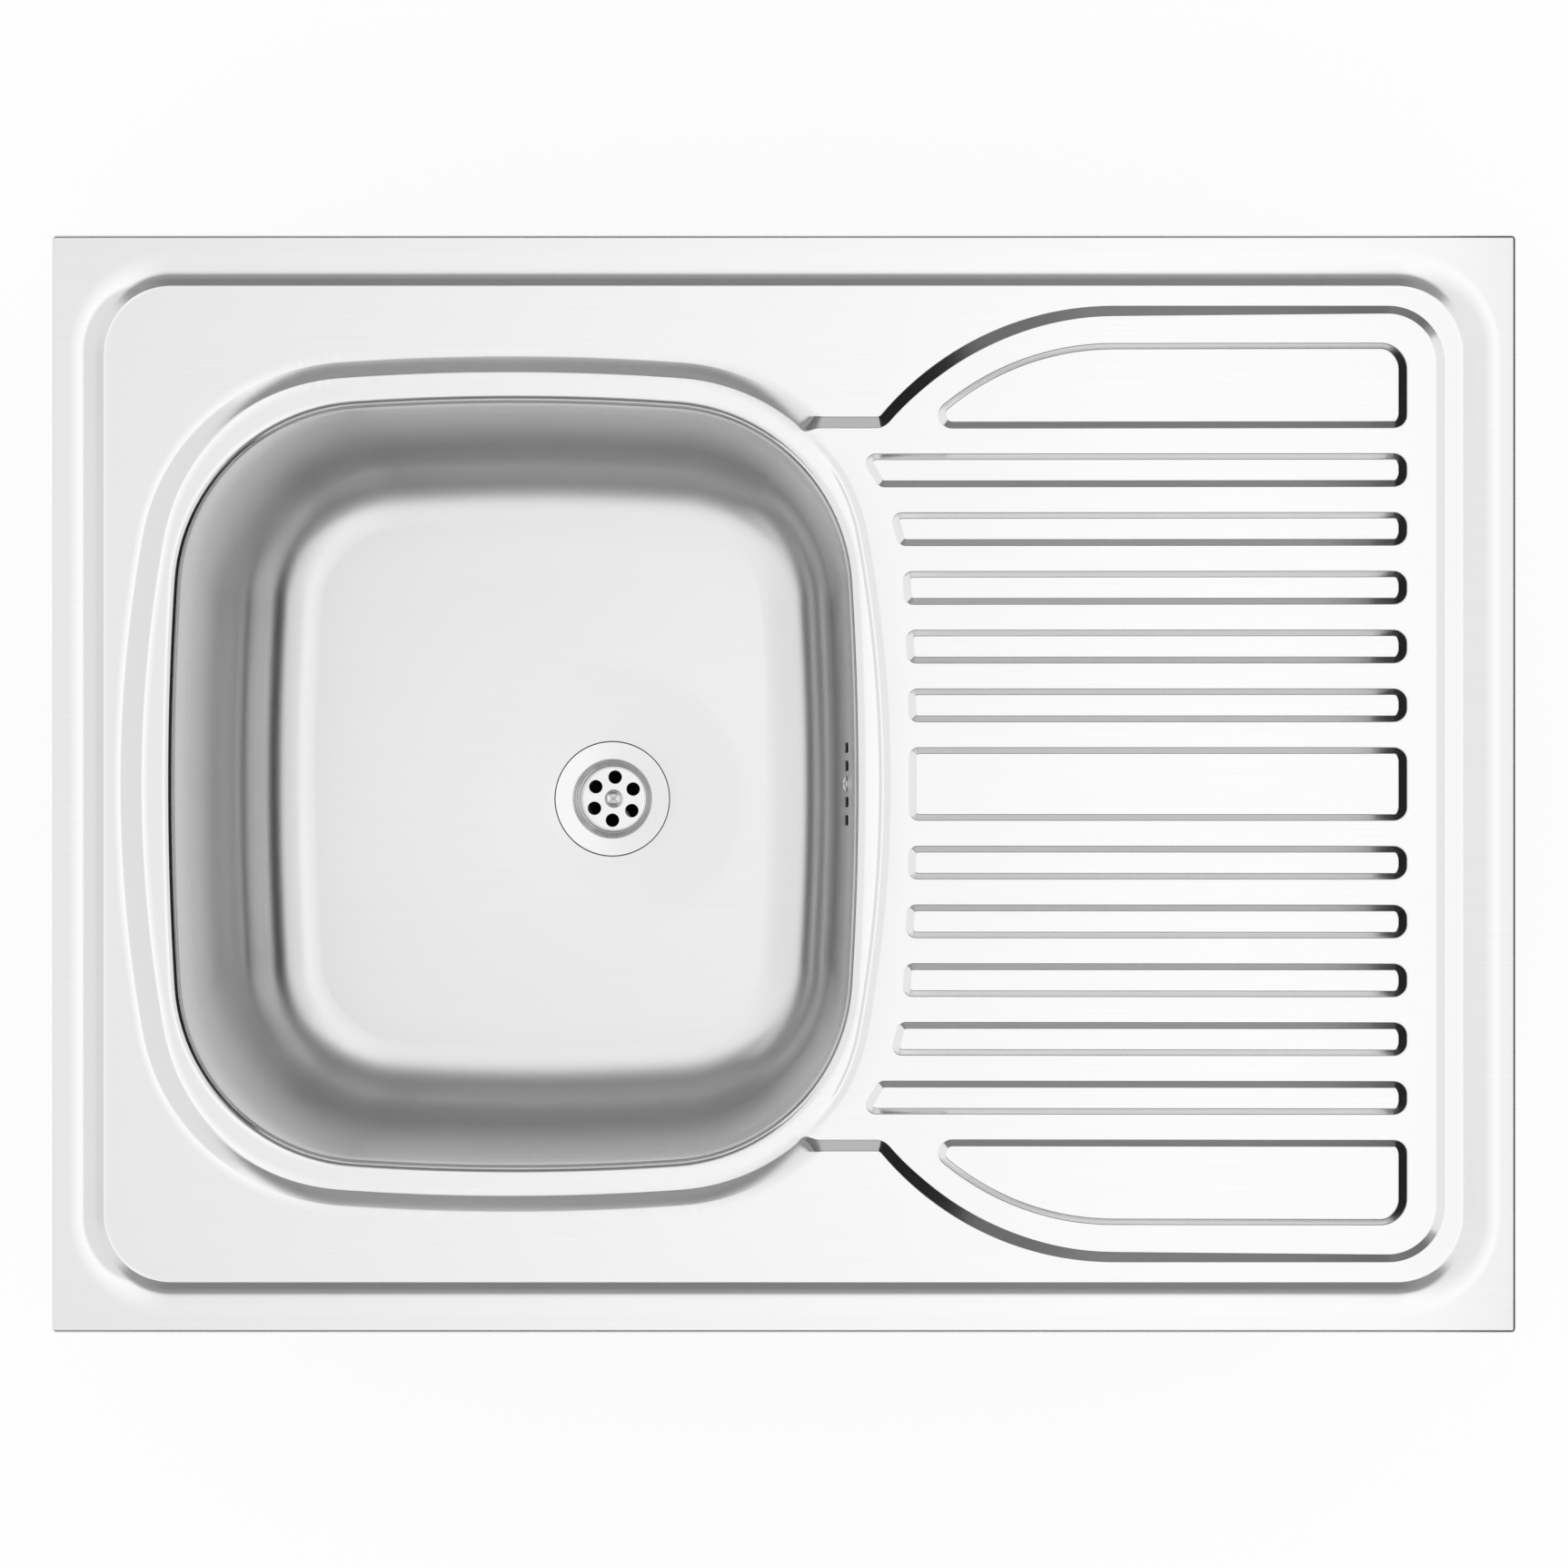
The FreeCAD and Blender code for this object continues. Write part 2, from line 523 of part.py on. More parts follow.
def cross_screw(shank_r, shank, head_r, head):
    """A raised-head screw pointing down from height 0, with a cross recess in its head."""
    flat_r = head_r * HEAD_FLAT_R
    solid = spin([(0, -shank), (shank_r, -shank), (shank_r, 0), (head_r, 0), (head_r, head * HEAD_EDGE),
                  (head_r * HEAD_SHOULDER_R, head * HEAD_SHOULDER), (flat_r, head), (0, head)])
    bar, low = flat_r * RECESS_WIDTH, head * (1 - RECESS_DEPTH)
    recess = [box(-flat_r, flat_r, -bar, bar, low, head + LEAD),
              box(-bar, bar, -flat_r, flat_r, low, head + LEAD)]
    return solid.cut(recess)


def strainer_screw():
    screw = cross_screw(SCREW_R, strainer_screw_length(), SCREW_HEAD_R, SCREW_HEAD)
    screw.rotate(Vector(), UP, STRAINER_FIRST_ANGLE / 2)
    screw.translate(WASTE_AXIS + Vector(0, 0, strainer_screw_seat()))
    return screw


def strainer_screw_seat():
    return WASTE_FLANGE - STRAINER_DEPTH + FACE_GAP


def strainer_screw_length():
    """Down to the end of the insert in the body's boss."""
    return strainer_screw_seat() - (BODY_TOP - BOSS_TOP - INSERT_LENGTH)


def flat_ring(r_in, r_out, z0, z1, centre=Vector()):
    return spin([(r_in, z0), (r_out, z0), (r_out, z1), (r_in, z1)], centre)


def seat_inner_r():
    return WASTE_FLANGE_R - DISH_WIDTH


def waste_top_seal():
    return flat_ring(seat_inner_r(), WASTE_FLANGE_R - SEAL_INSET, SEAT, WASTE_FLANGE, WASTE_AXIS)


def waste_under_seal():
    return flat_ring(WASTE_HOLE_R + SEAL_INSET, WASTE_FLANGE_R - SEAL_INSET,
                     BODY_TOP, SEAT - SHEET, WASTE_AXIS)


def hose_corner():
    """Where the overflow housing's spigot axis meets the level of the waste body's inlet."""
    start = overflow_place(SPIGOT_AXIS)
    down = start.Rotation.multVec(Vector(0, 0, -1))
    inlet_z = BODY_TOP - INLET_DROP
    return start.Base + down * ((inlet_z - start.Base.z) / down.z)


def inlet_direction():
    along = hose_corner() - WASTE_AXIS
    along.z = 0
    return along.normalize()


def inlet_frame(reach):
    """On the inlet's axis, local +Z pointing out of the waste body."""
    origin = WASTE_AXIS + Vector(0, 0, BODY_TOP - INLET_DROP) + inlet_direction() * reach
    return Placement(origin, Rotation(UP, inlet_direction()))


def spigot_frame():
    """At the end of the overflow housing's spigot, local +Z pointing down out of it."""
    return overflow_place(SPIGOT_AXIS, -HOUSING_HALF_HEIGHT - SPIGOT_THREAD - COLLAR).multiply(
        Placement(Vector(), Rotation(Vector(1, 0, 0), 180)))


def waste_body():
    """Moulded body: flange, cup with an inlet on its side, boss on three webs, threaded outlet."""
    t = BODY_WALL
    cone_top = -BODY_DEPTH
    thread_top = cone_top - OUTLET_CONE
    end = thread_top - OUTLET_LENGTH
    bore = OUTLET_R - OUTLET_WALL
    shell = spin([(r, z + BODY_TOP) for r, z in [
        (BODY_RIM_R, 0), (BODY_RIM_R, -BODY_RIM), (BODY_R, -BODY_RIM - t),
        (BODY_R, cone_top), (OUTLET_R, thread_top), (OUTLET_R, end), (bore, end), (bore, thread_top),
        (BODY_R - t, cone_top), (BODY_R - t, 0)]], WASTE_AXIS)
    boss_low = BODY_TOP - BOSS_TOP - BOSS_LENGTH
    boss = cylinder(BOSS_R, boss_low, BODY_TOP - BOSS_TOP, WASTE_AXIS)
    web = box(0, BODY_R - t / 2, -WEB / 2, WEB / 2, boss_low, boss_low + WEB_HEIGHT)
    web.translate(WASTE_AXIS)
    inlet_angle = math.degrees(math.atan2(inlet_direction().y, inlet_direction().x))
    webs = polar(web, WASTE_AXIS, WEB_COUNT, inlet_angle + 180.0 / WEB_COUNT)
    start = BODY_R - t
    pipe = placed(cylinder(SPIGOT_R, 0, INLET_REACH - start), inlet_frame(start))
    inside = cylinder(BODY_R - t, BODY_TOP - BODY_DEPTH, BODY_TOP, WASTE_AXIS)
    bore_pipe = placed(cylinder(SPIGOT_BORE_R, -t, INLET_REACH - start + LEAD), inlet_frame(start))
    body = shell.fuse(pipe.cut(inside)).fuse([boss] + webs).cut(bore_pipe)
    boss_top = BODY_TOP - BOSS_TOP
    socket = cylinder(INSERT_R, boss_top - INSERT_LENGTH, boss_top + LEAD, WASTE_AXIS)
    screw_hole = cylinder(SCREW_R + SCREW_HOLE_GAP, boss_low - LEAD, BODY_TOP, WASTE_AXIS)
    return body.cut([socket, screw_hole])


def waste_insert():
    return flat_ring(SCREW_R + THREAD_GAP, INSERT_R, BODY_TOP - BOSS_TOP - INSERT_LENGTH,
                     BODY_TOP - BOSS_TOP, WASTE_AXIS)


# ---------------------------------------------------------------- the overflow
def upright_rectangle(half_y, half_z, r, x0, x1):
    """A rounded rectangle in the wall's plane, from depth x0 to x1."""
    wire = rounded_rectangle(-half_y, half_y, -half_z, half_z, r, r, 0)
    solid = Part.Face(wire).extrude(Vector(0, 0, x1 - x0))
    # local X, Y and Z of the outline become Y, Z and X
    solid = solid.transformGeometry(Matrix(0, 0, 1, x0, 1, 0, 0, 0, 0, 1, 0, 0, 0, 0, 0, 1))
    return solid


def overflow_seal():
    """A rubber frame, pressed to the crown of the bowl's wall."""
    corner = SEAL_BAND
    bite = SHEET
    ring = upright_rectangle(HOUSING_HALF_WIDTH, HOUSING_HALF_HEIGHT, corner, -bite, OVERFLOW_SEAL)
    ring = ring.cut(upright_rectangle(HOUSING_HALF_WIDTH - SEAL_BAND, HOUSING_HALF_HEIGHT - SEAL_BAND,
                                      corner / 2, -bite - LEAD, OVERFLOW_SEAL + LEAD))
    bowl = pocket(bowl_outline, LEDGE, 0, BOWL_FLOOR, -BOWL_DRAFT, SHEET, 0)
    return placed(ring, overflow_place()).cut(bowl)


def overflow_housing():
    """A box behind the slots, a pillar for the screw, and a spigot downwards."""
    t, corner = HOUSING_WALL, SEAL_BAND
    shell = upright_rectangle(HOUSING_HALF_WIDTH, HOUSING_HALF_HEIGHT, corner, OVERFLOW_SEAL, HOUSING_DEPTH)
    inside = upright_rectangle(HOUSING_HALF_WIDTH - t, HOUSING_HALF_HEIGHT - t, corner / 2,
                               OVERFLOW_SEAL - LEAD, HOUSING_DEPTH - t)
    pillar = lying_cylinder(PILLAR_R, OVERFLOW_SEAL, HOUSING_DEPTH - t / 2)
    low = -HOUSING_HALF_HEIGHT - SPIGOT_THREAD - COLLAR
    axis = Vector(SPIGOT_AXIS, 0, 0)
    spigot = cylinder(SPIGOT_R, low, -HOUSING_HALF_HEIGHT + t / 2, axis)
    bore = cylinder(SPIGOT_BORE_R, low - LEAD, -HOUSING_HALF_HEIGHT + t + LEAD, axis)
    socket = lying_cylinder(OVERFLOW_INSERT_R, OVERFLOW_SEAL - LEAD, OVERFLOW_SEAL + OVERFLOW_INSERT_LENGTH)
    screw_hole = lying_cylinder(OVERFLOW_SCREW_R + SCREW_HOLE_GAP, 0, SHEET + OVERFLOW_SCREW_LENGTH)
    housing = shell.cut(inside).fuse([pillar, spigot]).cut([bore, socket, screw_hole])
    return placed(housing, overflow_place())


def overflow_insert():
    ring = lying_cylinder(OVERFLOW_INSERT_R, OVERFLOW_SEAL, OVERFLOW_SEAL + OVERFLOW_INSERT_LENGTH)
    ring = ring.cut(lying_cylinder(OVERFLOW_SCREW_R + THREAD_GAP, 0, HOUSING_DEPTH))
    return placed(ring, overflow_place())


def overflow_screw():
    screw = cross_screw(OVERFLOW_SCREW_R, OVERFLOW_SCREW_LENGTH, OVERFLOW_HEAD_R, OVERFLOW_HEAD)
    screw.rotate(Vector(), Vector(0, 1, 0), -90)
    return placed(screw, overflow_place(-SHEET - FACE_GAP))


# ---------------------------------------------------------------- the hose and its unions
def hose_seal(frame):
    return placed(flat_ring(SPIGOT_BORE_R, SPIGOT_R - FACE_GAP, 0, HOSE_SEAL), frame)


def hose_nut(frame):
    """A cap nut: bore over the spigot's thread, lip behind the hose's collar."""
    low, lip = -SPIGOT_THREAD, HOSE_SEAL + COLLAR + FACE_GAP
    end = lip + NUT_LIP
    ring = flat_ring(HOSE_R + SCREW_HOLE_GAP, NUT_R, low, end)
    ring = ring.cut(cylinder(SPIGOT_R + THREAD_GAP, low - LEAD, lip))
    groove = cylinder(NUT_GRIP_R, low + NUT_LIP, end + LEAD, Vector(NUT_R + NUT_GRIP_OUT, 0, 0))
    return placed(ring.cut(polar(groove, Vector(), NUT_GRIPS)), frame)


def hose_end(frame):
    """The collar that the nut holds, with its own bore."""
    return placed(cylinder(SPIGOT_R - FACE_GAP, HOSE_SEAL, HOSE_SEAL + COLLAR), frame)


def hose_path():
    """Centre line from collar to collar: a straight run, one bend, a straight run."""
    high, low, corner = spigot_frame(), inlet_frame(INLET_REACH), hose_corner()
    start = high.multVec(Vector(0, 0, HOSE_SEAL))
    end = low.multVec(Vector(0, 0, HOSE_SEAL))
    first, last = (corner - start).normalize(), (end - corner).normalize()
    half_turn = first.getAngle(last) / 2
    tangent = HOSE_BEND_R * math.tan(half_turn)
    a, b = corner - first * tangent, corner + last * tangent
    inward = (last - first).normalize()
    middle = corner + inward * (HOSE_BEND_R / math.cos(half_turn) - HOSE_BEND_R)
    return Part.Wire([Part.LineSegment(start, a).toShape(), Part.Arc(a, middle, b).toShape(),
                      Part.LineSegment(b, end).toShape()]), start, first


def tube_along(path, start, direction, r):
    ring = Part.Wire(Part.Circle(start, direction, r).toShape())
    return path.makePipeShell([ring], True, True)


def overflow_hose():
    path, start, direction = hose_path()
    outside = tube_along(path, start, direction, HOSE_R)
    collars = [hose_end(spigot_frame()), hose_end(inlet_frame(INLET_REACH))]
    return outside.fuse(collars).cut(tube_along(path, start, direction, HOSE_R - HOSE_WALL))


# ---------------------------------------------------------------- underside
def stiffening_channel(x):
    """A hat-section channel across the underside of the drainboard's floor."""
    s, half, wide = CHANNEL_SHEET, CHANNEL_WIDTH / 2, CHANNEL_WIDTH / 2 + CHANNEL_FLANGE
    low = -CHANNEL_DEPTH
    section = [(-wide, 0), (-half + s, 0), (-half + s, low + s), (half - s, low + s), (half - s, 0),
               (wide, 0), (wide, -s), (half, -s), (half, low), (-half, low), (-half, -s), (-wide, -s)]
    corners = [Vector(x + px, -CHANNEL_LENGTH / 2, pz - SHEET) for px, pz in section]
    face = Part.Face(Part.makePolygon(corners + corners[:1]))
    return tilt(face.extrude(Vector(0, CHANNEL_LENGTH, 0)))


def corner_angle(sx, sy):
    """A steel angle welded into the skirt's corner, between the bends of the flange and the rim."""
    x, y = HALF_LENGTH - SHEET, HALF_WIDTH - SHEET
    low, high = EDGE_R, RIM_HEIGHT - EDGE_R
    outer = box(x - ANGLE_LEG, x, y - ANGLE_LEG, y, low, high)
    outer = outer.makeFillet(ANGLE_BEND_R, [e for e in outer.Edges if upright_at(e, x, y)])
    xi, yi = x - ANGLE_SHEET, y - ANGLE_SHEET
    inner = box(x - 2 * ANGLE_LEG, xi, y - 2 * ANGLE_LEG, yi, low - LEAD, high + LEAD)
    inner = inner.makeFillet(ANGLE_BEND_R - ANGLE_SHEET, [e for e in inner.Edges if upright_at(e, xi, yi)])
    angle = outer.cut(inner)
    if sx < 0:
        angle = angle.mirror(Vector(), Vector(1, 0, 0))
    return mirror_y(angle) if sy < 0 else angle


def upright_at(edge, x, y):
    return all(abs(v.X - x) < 1e-6 and abs(v.Y - y) < 1e-6 for v in edge.Vertexes)


def damping_pad():
    """A sheet glued under the flat of the bowl's floor, beside the fall to the waste."""
    bend_run = BOWL_DRAFT + (BOWL_FLOOR_R + SHEET) * math.tan(math.radians(90 - WALL_LEAN) / 2)
    x0 = BOWL_X - BOWL_HALF_X + bend_run + PAD_INSET
    top = BOWL_FLOOR - SHEET
    wire = rounded_rectangle(x0, x0 + PAD_LENGTH, -PAD_WIDTH / 2, PAD_WIDTH / 2,
                             PAD_CORNER_R, PAD_CORNER_R, top - PAD_THICKNESS)
    return Part.Face(wire).extrude(Vector(0, 0, PAD_THICKNESS))


def bracket_plate_x():
    """Outer face of a bracket's plate, which lies on the base unit's side."""
    return HALF_LENGTH - FLANGE_WIDTH - BRACKET_GAP


def fixing_bracket(sx, sy):
    """A steel angle that hooks over the return flange and screws to the base unit's side."""
    x, t = bracket_plate_x(), BRACKET_SHEET
    hook_low = SHEET + FACE_GAP
    half = BRACKET_WIDTH / 2
    plate = box(x - t, x, -half, half, -BRACKET_DROP, hook_low + t)
    hook = box(x - t, x + BRACKET_GAP + BRACKET_HOOK, -half, half, hook_low, hook_low + t)
    slot = lying_slot(BRACKET_SLOT_WIDTH, BRACKET_SLOT_HEIGHT, x - 2 * t, x + t, 0, -BRACKET_HOLE_DROP)
    holes = [lying_cylinder(BRACKET_HOLE_R, x - 2 * t, x + t, side * BRACKET_HOLE_Y, -BRACKET_HOLE_DROP)
             for side in (1, -1)]
    bracket = plate.fuse(hook).cut([slot] + holes).removeSplitter()
    bracket.translate(Vector(0, sy * BRACKET_Y, 0))
    return bracket if sx > 0 else bracket.mirror(Vector(), Vector(1, 0, 0))


# ---------------------------------------------------------------- every node
def nodes():
    made = {
        "sink_pressing": sink_pressing(),
        "waste_flange": waste_flange(),
        "waste_top_seal": waste_top_seal(),
        "waste_under_seal": waste_under_seal(),
        "waste_body": waste_body(),
        "waste_insert": waste_insert(),
        "strainer_screw": strainer_screw(),
        "overflow_seal": overflow_seal(),
        "overflow_housing": overflow_housing(),
        "overflow_insert": overflow_insert(),
        "overflow_screw": overflow_screw(),
        "overflow_hose": overflow_hose(),
        "hose_seal_upper": hose_seal(spigot_frame()),
        "hose_seal_lower": hose_seal(inlet_frame(INLET_REACH)),
        "hose_nut_upper": hose_nut(spigot_frame()),
        "hose_nut_lower": hose_nut(inlet_frame(INLET_REACH)),
        "damping_pad": damping_pad(),
    }
    for name, x in CHANNEL_XS.items():
        made["stiffening_channel_" + name] = stiffening_channel(x)
    for x_name, sx in (("left", -1), ("right", 1)):
        for y_name, sy in (("front", -1), ("back", 1)):
            made[f"corner_angle_{x_name}_{y_name}"] = corner_angle(sx, sy)
            made[f"fixing_bracket_{x_name}_{y_name}"] = fixing_bracket(sx, sy)
    return made


os.makedirs("parts", exist_ok=True)
for node, shape in nodes().items():
    solid, *others = shape.Solids
    solid.exportStep(f"parts/{node}.step")
    print(node, round(solid.Volume, 1), "mm3", "whole" if solid.isValid() and not others else "BROKEN")
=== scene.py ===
"""Kitchen sink with a ribbed drainboard: pressed steel sheet, strainer waste, overflow and fixings.

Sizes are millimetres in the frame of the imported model, +X from the bowl to the drainboard, +Z up. Every
shape is a grid of points worked out with numpy and put into a mesh in metres.
"""
import math

import bmesh
import bpy
import numpy as np
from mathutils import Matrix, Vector
from mathutils.geometry import delaunay_2d_cdt


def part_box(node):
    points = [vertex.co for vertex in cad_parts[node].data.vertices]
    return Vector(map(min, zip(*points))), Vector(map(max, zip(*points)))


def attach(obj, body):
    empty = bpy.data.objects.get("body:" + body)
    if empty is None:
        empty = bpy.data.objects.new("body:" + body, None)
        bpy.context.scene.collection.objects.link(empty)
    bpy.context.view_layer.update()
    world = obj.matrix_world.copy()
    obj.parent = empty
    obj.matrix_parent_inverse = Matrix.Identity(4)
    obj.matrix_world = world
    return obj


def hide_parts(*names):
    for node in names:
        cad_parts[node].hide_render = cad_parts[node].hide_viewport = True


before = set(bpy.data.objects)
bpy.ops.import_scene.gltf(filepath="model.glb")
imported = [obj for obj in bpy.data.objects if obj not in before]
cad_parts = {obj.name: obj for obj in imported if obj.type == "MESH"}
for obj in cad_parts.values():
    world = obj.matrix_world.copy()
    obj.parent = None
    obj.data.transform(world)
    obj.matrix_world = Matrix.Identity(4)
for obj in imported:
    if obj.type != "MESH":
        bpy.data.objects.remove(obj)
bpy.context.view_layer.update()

MM = 0.001
CLOSE = 0.002             # points nearer than this are one point
STRIP = 0.4               # level strip kept beside every bend, so that flats shade flat
ARC_ERROR = 0.05          # furthest that a chord may leave its arc

# ---------------------------------------------------------------- sizes of the pressed sheet
SHEET = 0.8
EDGE_R = 2.0              # bends of the skirt
SKIRT_CORNER_R = 2.6      # skirt's corners, seen from above
FLANGE_WIDTH = 14.0

RIM_WIDTH = 16.5
RIM_STEP_RUN = 12.0
RIM_STEP = 6.5
RIM_CORNER_R = 47.5
RIM_BEND_R = 25.0         # long easy bend into the step
RIM_FOOT_R = 2.6
RIM_LEAD = 7.5            # level run before the easy bend
RIM_SHOULDER = 0.8        # how far in the step's straight slope starts
RIM_FOOT = 1.4            # and how far short of the step's run it ends
DECK_LEAD = 1.6           # level run after it

DECK_MARGIN = 9.0
BASIN_STEP_RUN = 6.0
SWEEP_WIDER = 0.5         # added to the step's width on the big arcs
STEP_BENDS = (0.2, 0.66)  # bends of the basin's and of the ledge's step, as shares of its run
STEP_LEAD = 0.28          # level strip beside the step, likewise
BASIN_DEPTH = 5.4
BASIN_RISE = 2.2
BASIN_CORNER_R = 31.0
BASIN_SWEEP_R = 166.0
BASIN_REACH = 24.8
NECK_INSET = 9.4
NECK_STEP_RUN = 5.6
NOSE_R = 3.5              # deck's nose beside the neck, towards the drainboard
NOSE_LEDGE_R = 14.0       # and towards the bowl

LEDGE_DEPTH = 6.0
LEDGE_MARGIN = 25.8
LEDGE_SHIFT = -1.7
LEDGE_STEP_RUN = 11.2
LEDGE_SIDE_R = 765.0
LEDGE_END_R = 1340.0
LEDGE_CORNER_R = 117.0
CREASE_INSET = 8.4        # from the ledge's outline to the crease
CREASE_RUN = 4.5          # soft rise from the ledge to the drainboard
CREASE_DEPTH = 0.7        # groove in it
CREASE_HALF = 3.7         # half the groove's width
CREASE_END = 6.0          # where the groove ends, in from the neck's step
CREASE_FADE = 25.0        # over which it dies out

BOWL_LENGTH = 377.2
BOWL_END_MARGIN = 34.1
BOWL_SIDE_MARGIN = 60.5
BOWL_SIDE_R = 1800.0
BOWL_END_R = 1290.0
BOWL_CORNER_R = 103.0
BOWL_DEPTH = 150.0
BOWL_DRAFT = 11.0
BOWL_FLOOR_R = 28.0       # steel's bend as built, which sets the pad's place
BOWL_SOFT_R = 42.0        # bend as the eye follows it
BOWL_LIP_R = 6.0

RIB_HEIGHT = 3.0
RIB_FLANK = 3.5
RIB_FOOT_R, RIB_TOP_R = 1.1, 1.0
RIB_LEAD, RIB_TOP_LEAD = 0.6, 0.4  # level strips beside the flank, besides STRIP
END_FLANK = 0.45          # how much wider, as a share, the flanks at the far ends are
RIB_END_GAP = 20.0
RIB_CORNER_R = 3.9
RIB_NEAR_CORNER_R = 1.5
RIB_WIDTH = 18.4
RIB_LEAST_GAP = 13.0
RIB_START = 29.5
CENTRE_PANEL_WIDTH = 40.3
LENS_SHORE = 20.0
LENS_WIDTH = 46.8
LENS_CORNER_R = 11.0
LENS_TIP_R = 4.0

FALL_R = 80.0
FALL = 1.8
SEAT_DEPTH = 2.0
SEAT_RUN = 0.35
SEAT_CLEARANCE = 0.12
DISH_FALL = 0.135         # flange's fall for each mm inwards
FLANGE_SHEET = 0.8
WASTE_HOLE_R = 27.0

OVERFLOW_DROP = 52.0
SLOT_WIDTH = 6.0
SLOT_HEIGHT = 20.0
SLOT_PITCH = 10.4
SLOTS_EACH_SIDE = 2
SCREW_HOLE_R = 2.8
WINDOW_HALF = 34.0        # stretch of the bowl's wall that holds the slots
WINDOW_ABOVE = 8.0        # wall above and below them in it

# ---------------------------------------------------------------- sizes of the fittings
THROAT_R = 23.5
STRAINER_R = 19.4
STRAINER_DEPTH = 12.2
STRAINER_HOLE_R = 4.2
STRAINER_HOLE_CIRCLE_R = 13.4
STRAINER_HOLES = 6
STRAINER_FIRST_ANGLE = 86.4
STRAINER_RISE = 1.0       # strainer's depth is measured from this above the seat
SCREW_R = 3.0
SCREW_HEAD_R = 5.65
SCREW_HEAD = 2.8
FACE_GAP = 0.1
UNDER_SEAL = 2.5
BODY_RIM_R = 35.5
BODY_RIM = 5.0
BODY_WALL = 3.0
BODY_R = 30.0
BODY_DEPTH = 32.0
OUTLET_CONE = 7.0
OUTLET_R = 23.9
OUTLET_LENGTH = 28.0
OUTLET_WALL = 3.4
THREAD_PITCH = 2.309      # outlet's pipe thread
THREAD_DEPTH = 1.3
BOSS_R = 6.5
BOSS_LENGTH = 14.0
BOSS_TOP = 18.4
WEB = 2.5
WEB_HEIGHT = 8.0
WEB_COUNT = 3
INSERT_R = 4.4
INSERT_LENGTH = 9.0
INLET_DROP = 20.4
INLET_REACH = 48.0

OVERFLOW_SEAL = 2.5
SEAL_BAND = 4.0
HOUSING_WALL = 2.2
HOUSING_HALF_WIDTH = 30.0
HOUSING_HALF_HEIGHT = 17.0
PILLAR_R = 5.0
OVERFLOW_SCREW_R = 2.5
OVERFLOW_HEAD_R = 4.6
OVERFLOW_HEAD = 2.2
OVERFLOW_SCREW_LENGTH = 14.0
SPIGOT_R = 11.0
SPIGOT_BORE_R = 8.0
SPIGOT_THREAD = 10.0
SPIGOT_PITCH = 2.0
SPIGOT_DEPTH = 0.9
HOSE_SEAL = 2.0
COLLAR = 2.0
HOSE_R = 8.8
HOSE_WALL = 1.3
HOSE_CREST = 9.4          # radius over the ribs
HOSE_WAVE = 1.5           # between a rib's top and the groove beside it
RIB_PITCH_HOSE = 4.2
HOSE_BEND_R = 55.0
NUT_R = 14.0
NUT_LIP = 2.4
NUT_GRIPS = 8
SPIGOT_AXIS = 16.0
HOUSING_DEPTH = 29.0

CHANNEL_SHEET = 1.0
CHANNEL_FLANGE = 11.0
CHANNEL_WIDTH = 22.0
CHANNEL_DEPTH = 12.0
CHANNEL_INSET = 15.6
CHANNEL_FROM_BOWL = 110.2
CHANNEL_FROM_FAR = 77.5
WELD_PITCH = 40.0
PAD_THICKNESS = 2.0
PAD_LENGTH = 100.0
PAD_WIDTH = 240.0
PAD_CORNER_R = 12.0
PAD_INSET = 4.0
BRACKET_SHEET = 1.5
BRACKET_WIDTH = 34.0
BRACKET_DROP = 42.0
BRACKET_HOOK = 8.0
BRACKET_GAP = 2.0
BRACKET_PLACE = 110.0
BRACKET_HOLE_R = 2.25
BRACKET_HOLE_Y = 10.0
BRACKET_SLOT_WIDTH = 5.0
BRACKET_SLOT_HEIGHT = 20.0
BRACKET_HOLE_DROP = 22.0

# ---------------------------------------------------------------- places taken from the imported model
low_corner, high_corner = (np.array(corner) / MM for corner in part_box("sink_pressing"))
HALF_LENGTH = (high_corner[0] - low_corner[0]) / 2
HALF_WIDTH = (high_corner[1] - low_corner[1]) / 2
RIM_HEIGHT = high_corner[2]
flange_low, flange_high = (np.array(corner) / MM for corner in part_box("waste_flange"))
WASTE = (flange_low + flange_high)[:2] / 2
WASTE_FLANGE_R = (flange_high - flange_low)[0] / 2

# ---------------------------------------------------------------- sizes worked out from those above
DECK = RIM_HEIGHT - RIM_STEP
LEDGE = DECK - LEDGE_DEPTH
BOWL_FLOOR = LEDGE - BOWL_DEPTH
RIM_X, RIM_Y = HALF_LENGTH - RIM_WIDTH, HALF_WIDTH - RIM_WIDTH
BASIN_X = RIM_X - RIM_STEP_RUN - DECK_MARGIN
BASIN_Y = RIM_Y - RIM_STEP_RUN - DECK_MARGIN
BOWL_HALF_X = BOWL_LENGTH / 2
BOWL_HALF_Y = RIM_Y - RIM_STEP_RUN - BOWL_SIDE_MARGIN
BOWL_X = -RIM_X + RIM_STEP_RUN + BOWL_END_MARGIN + BOWL_HALF_X
BOWL_RIGHT_X = BOWL_X + BOWL_HALF_X
BASIN_END_X = BOWL_RIGHT_X - BASIN_REACH
NECK_Y = BOWL_HALF_Y - NECK_INSET
LEDGE_X = BOWL_X + LEDGE_SHIFT
LEDGE_HALF_X = BOWL_HALF_X + LEDGE_MARGIN
LEDGE_HALF_Y = BOWL_HALF_Y + LEDGE_MARGIN
FLOOR_START_X = LEDGE_X + LEDGE_HALF_X - CREASE_INSET
FLOOR_SLOPE = BASIN_RISE / (BASIN_X - FLOOR_START_X)
FLOOR_START = DECK - BASIN_DEPTH
SWEEP_X, SWEEP_Y = BASIN_END_X + BASIN_SWEEP_R, BASIN_Y - BASIN_SWEEP_R
LENS_INNER_Y = BASIN_Y - LENS_SHORE - LENS_WIDTH
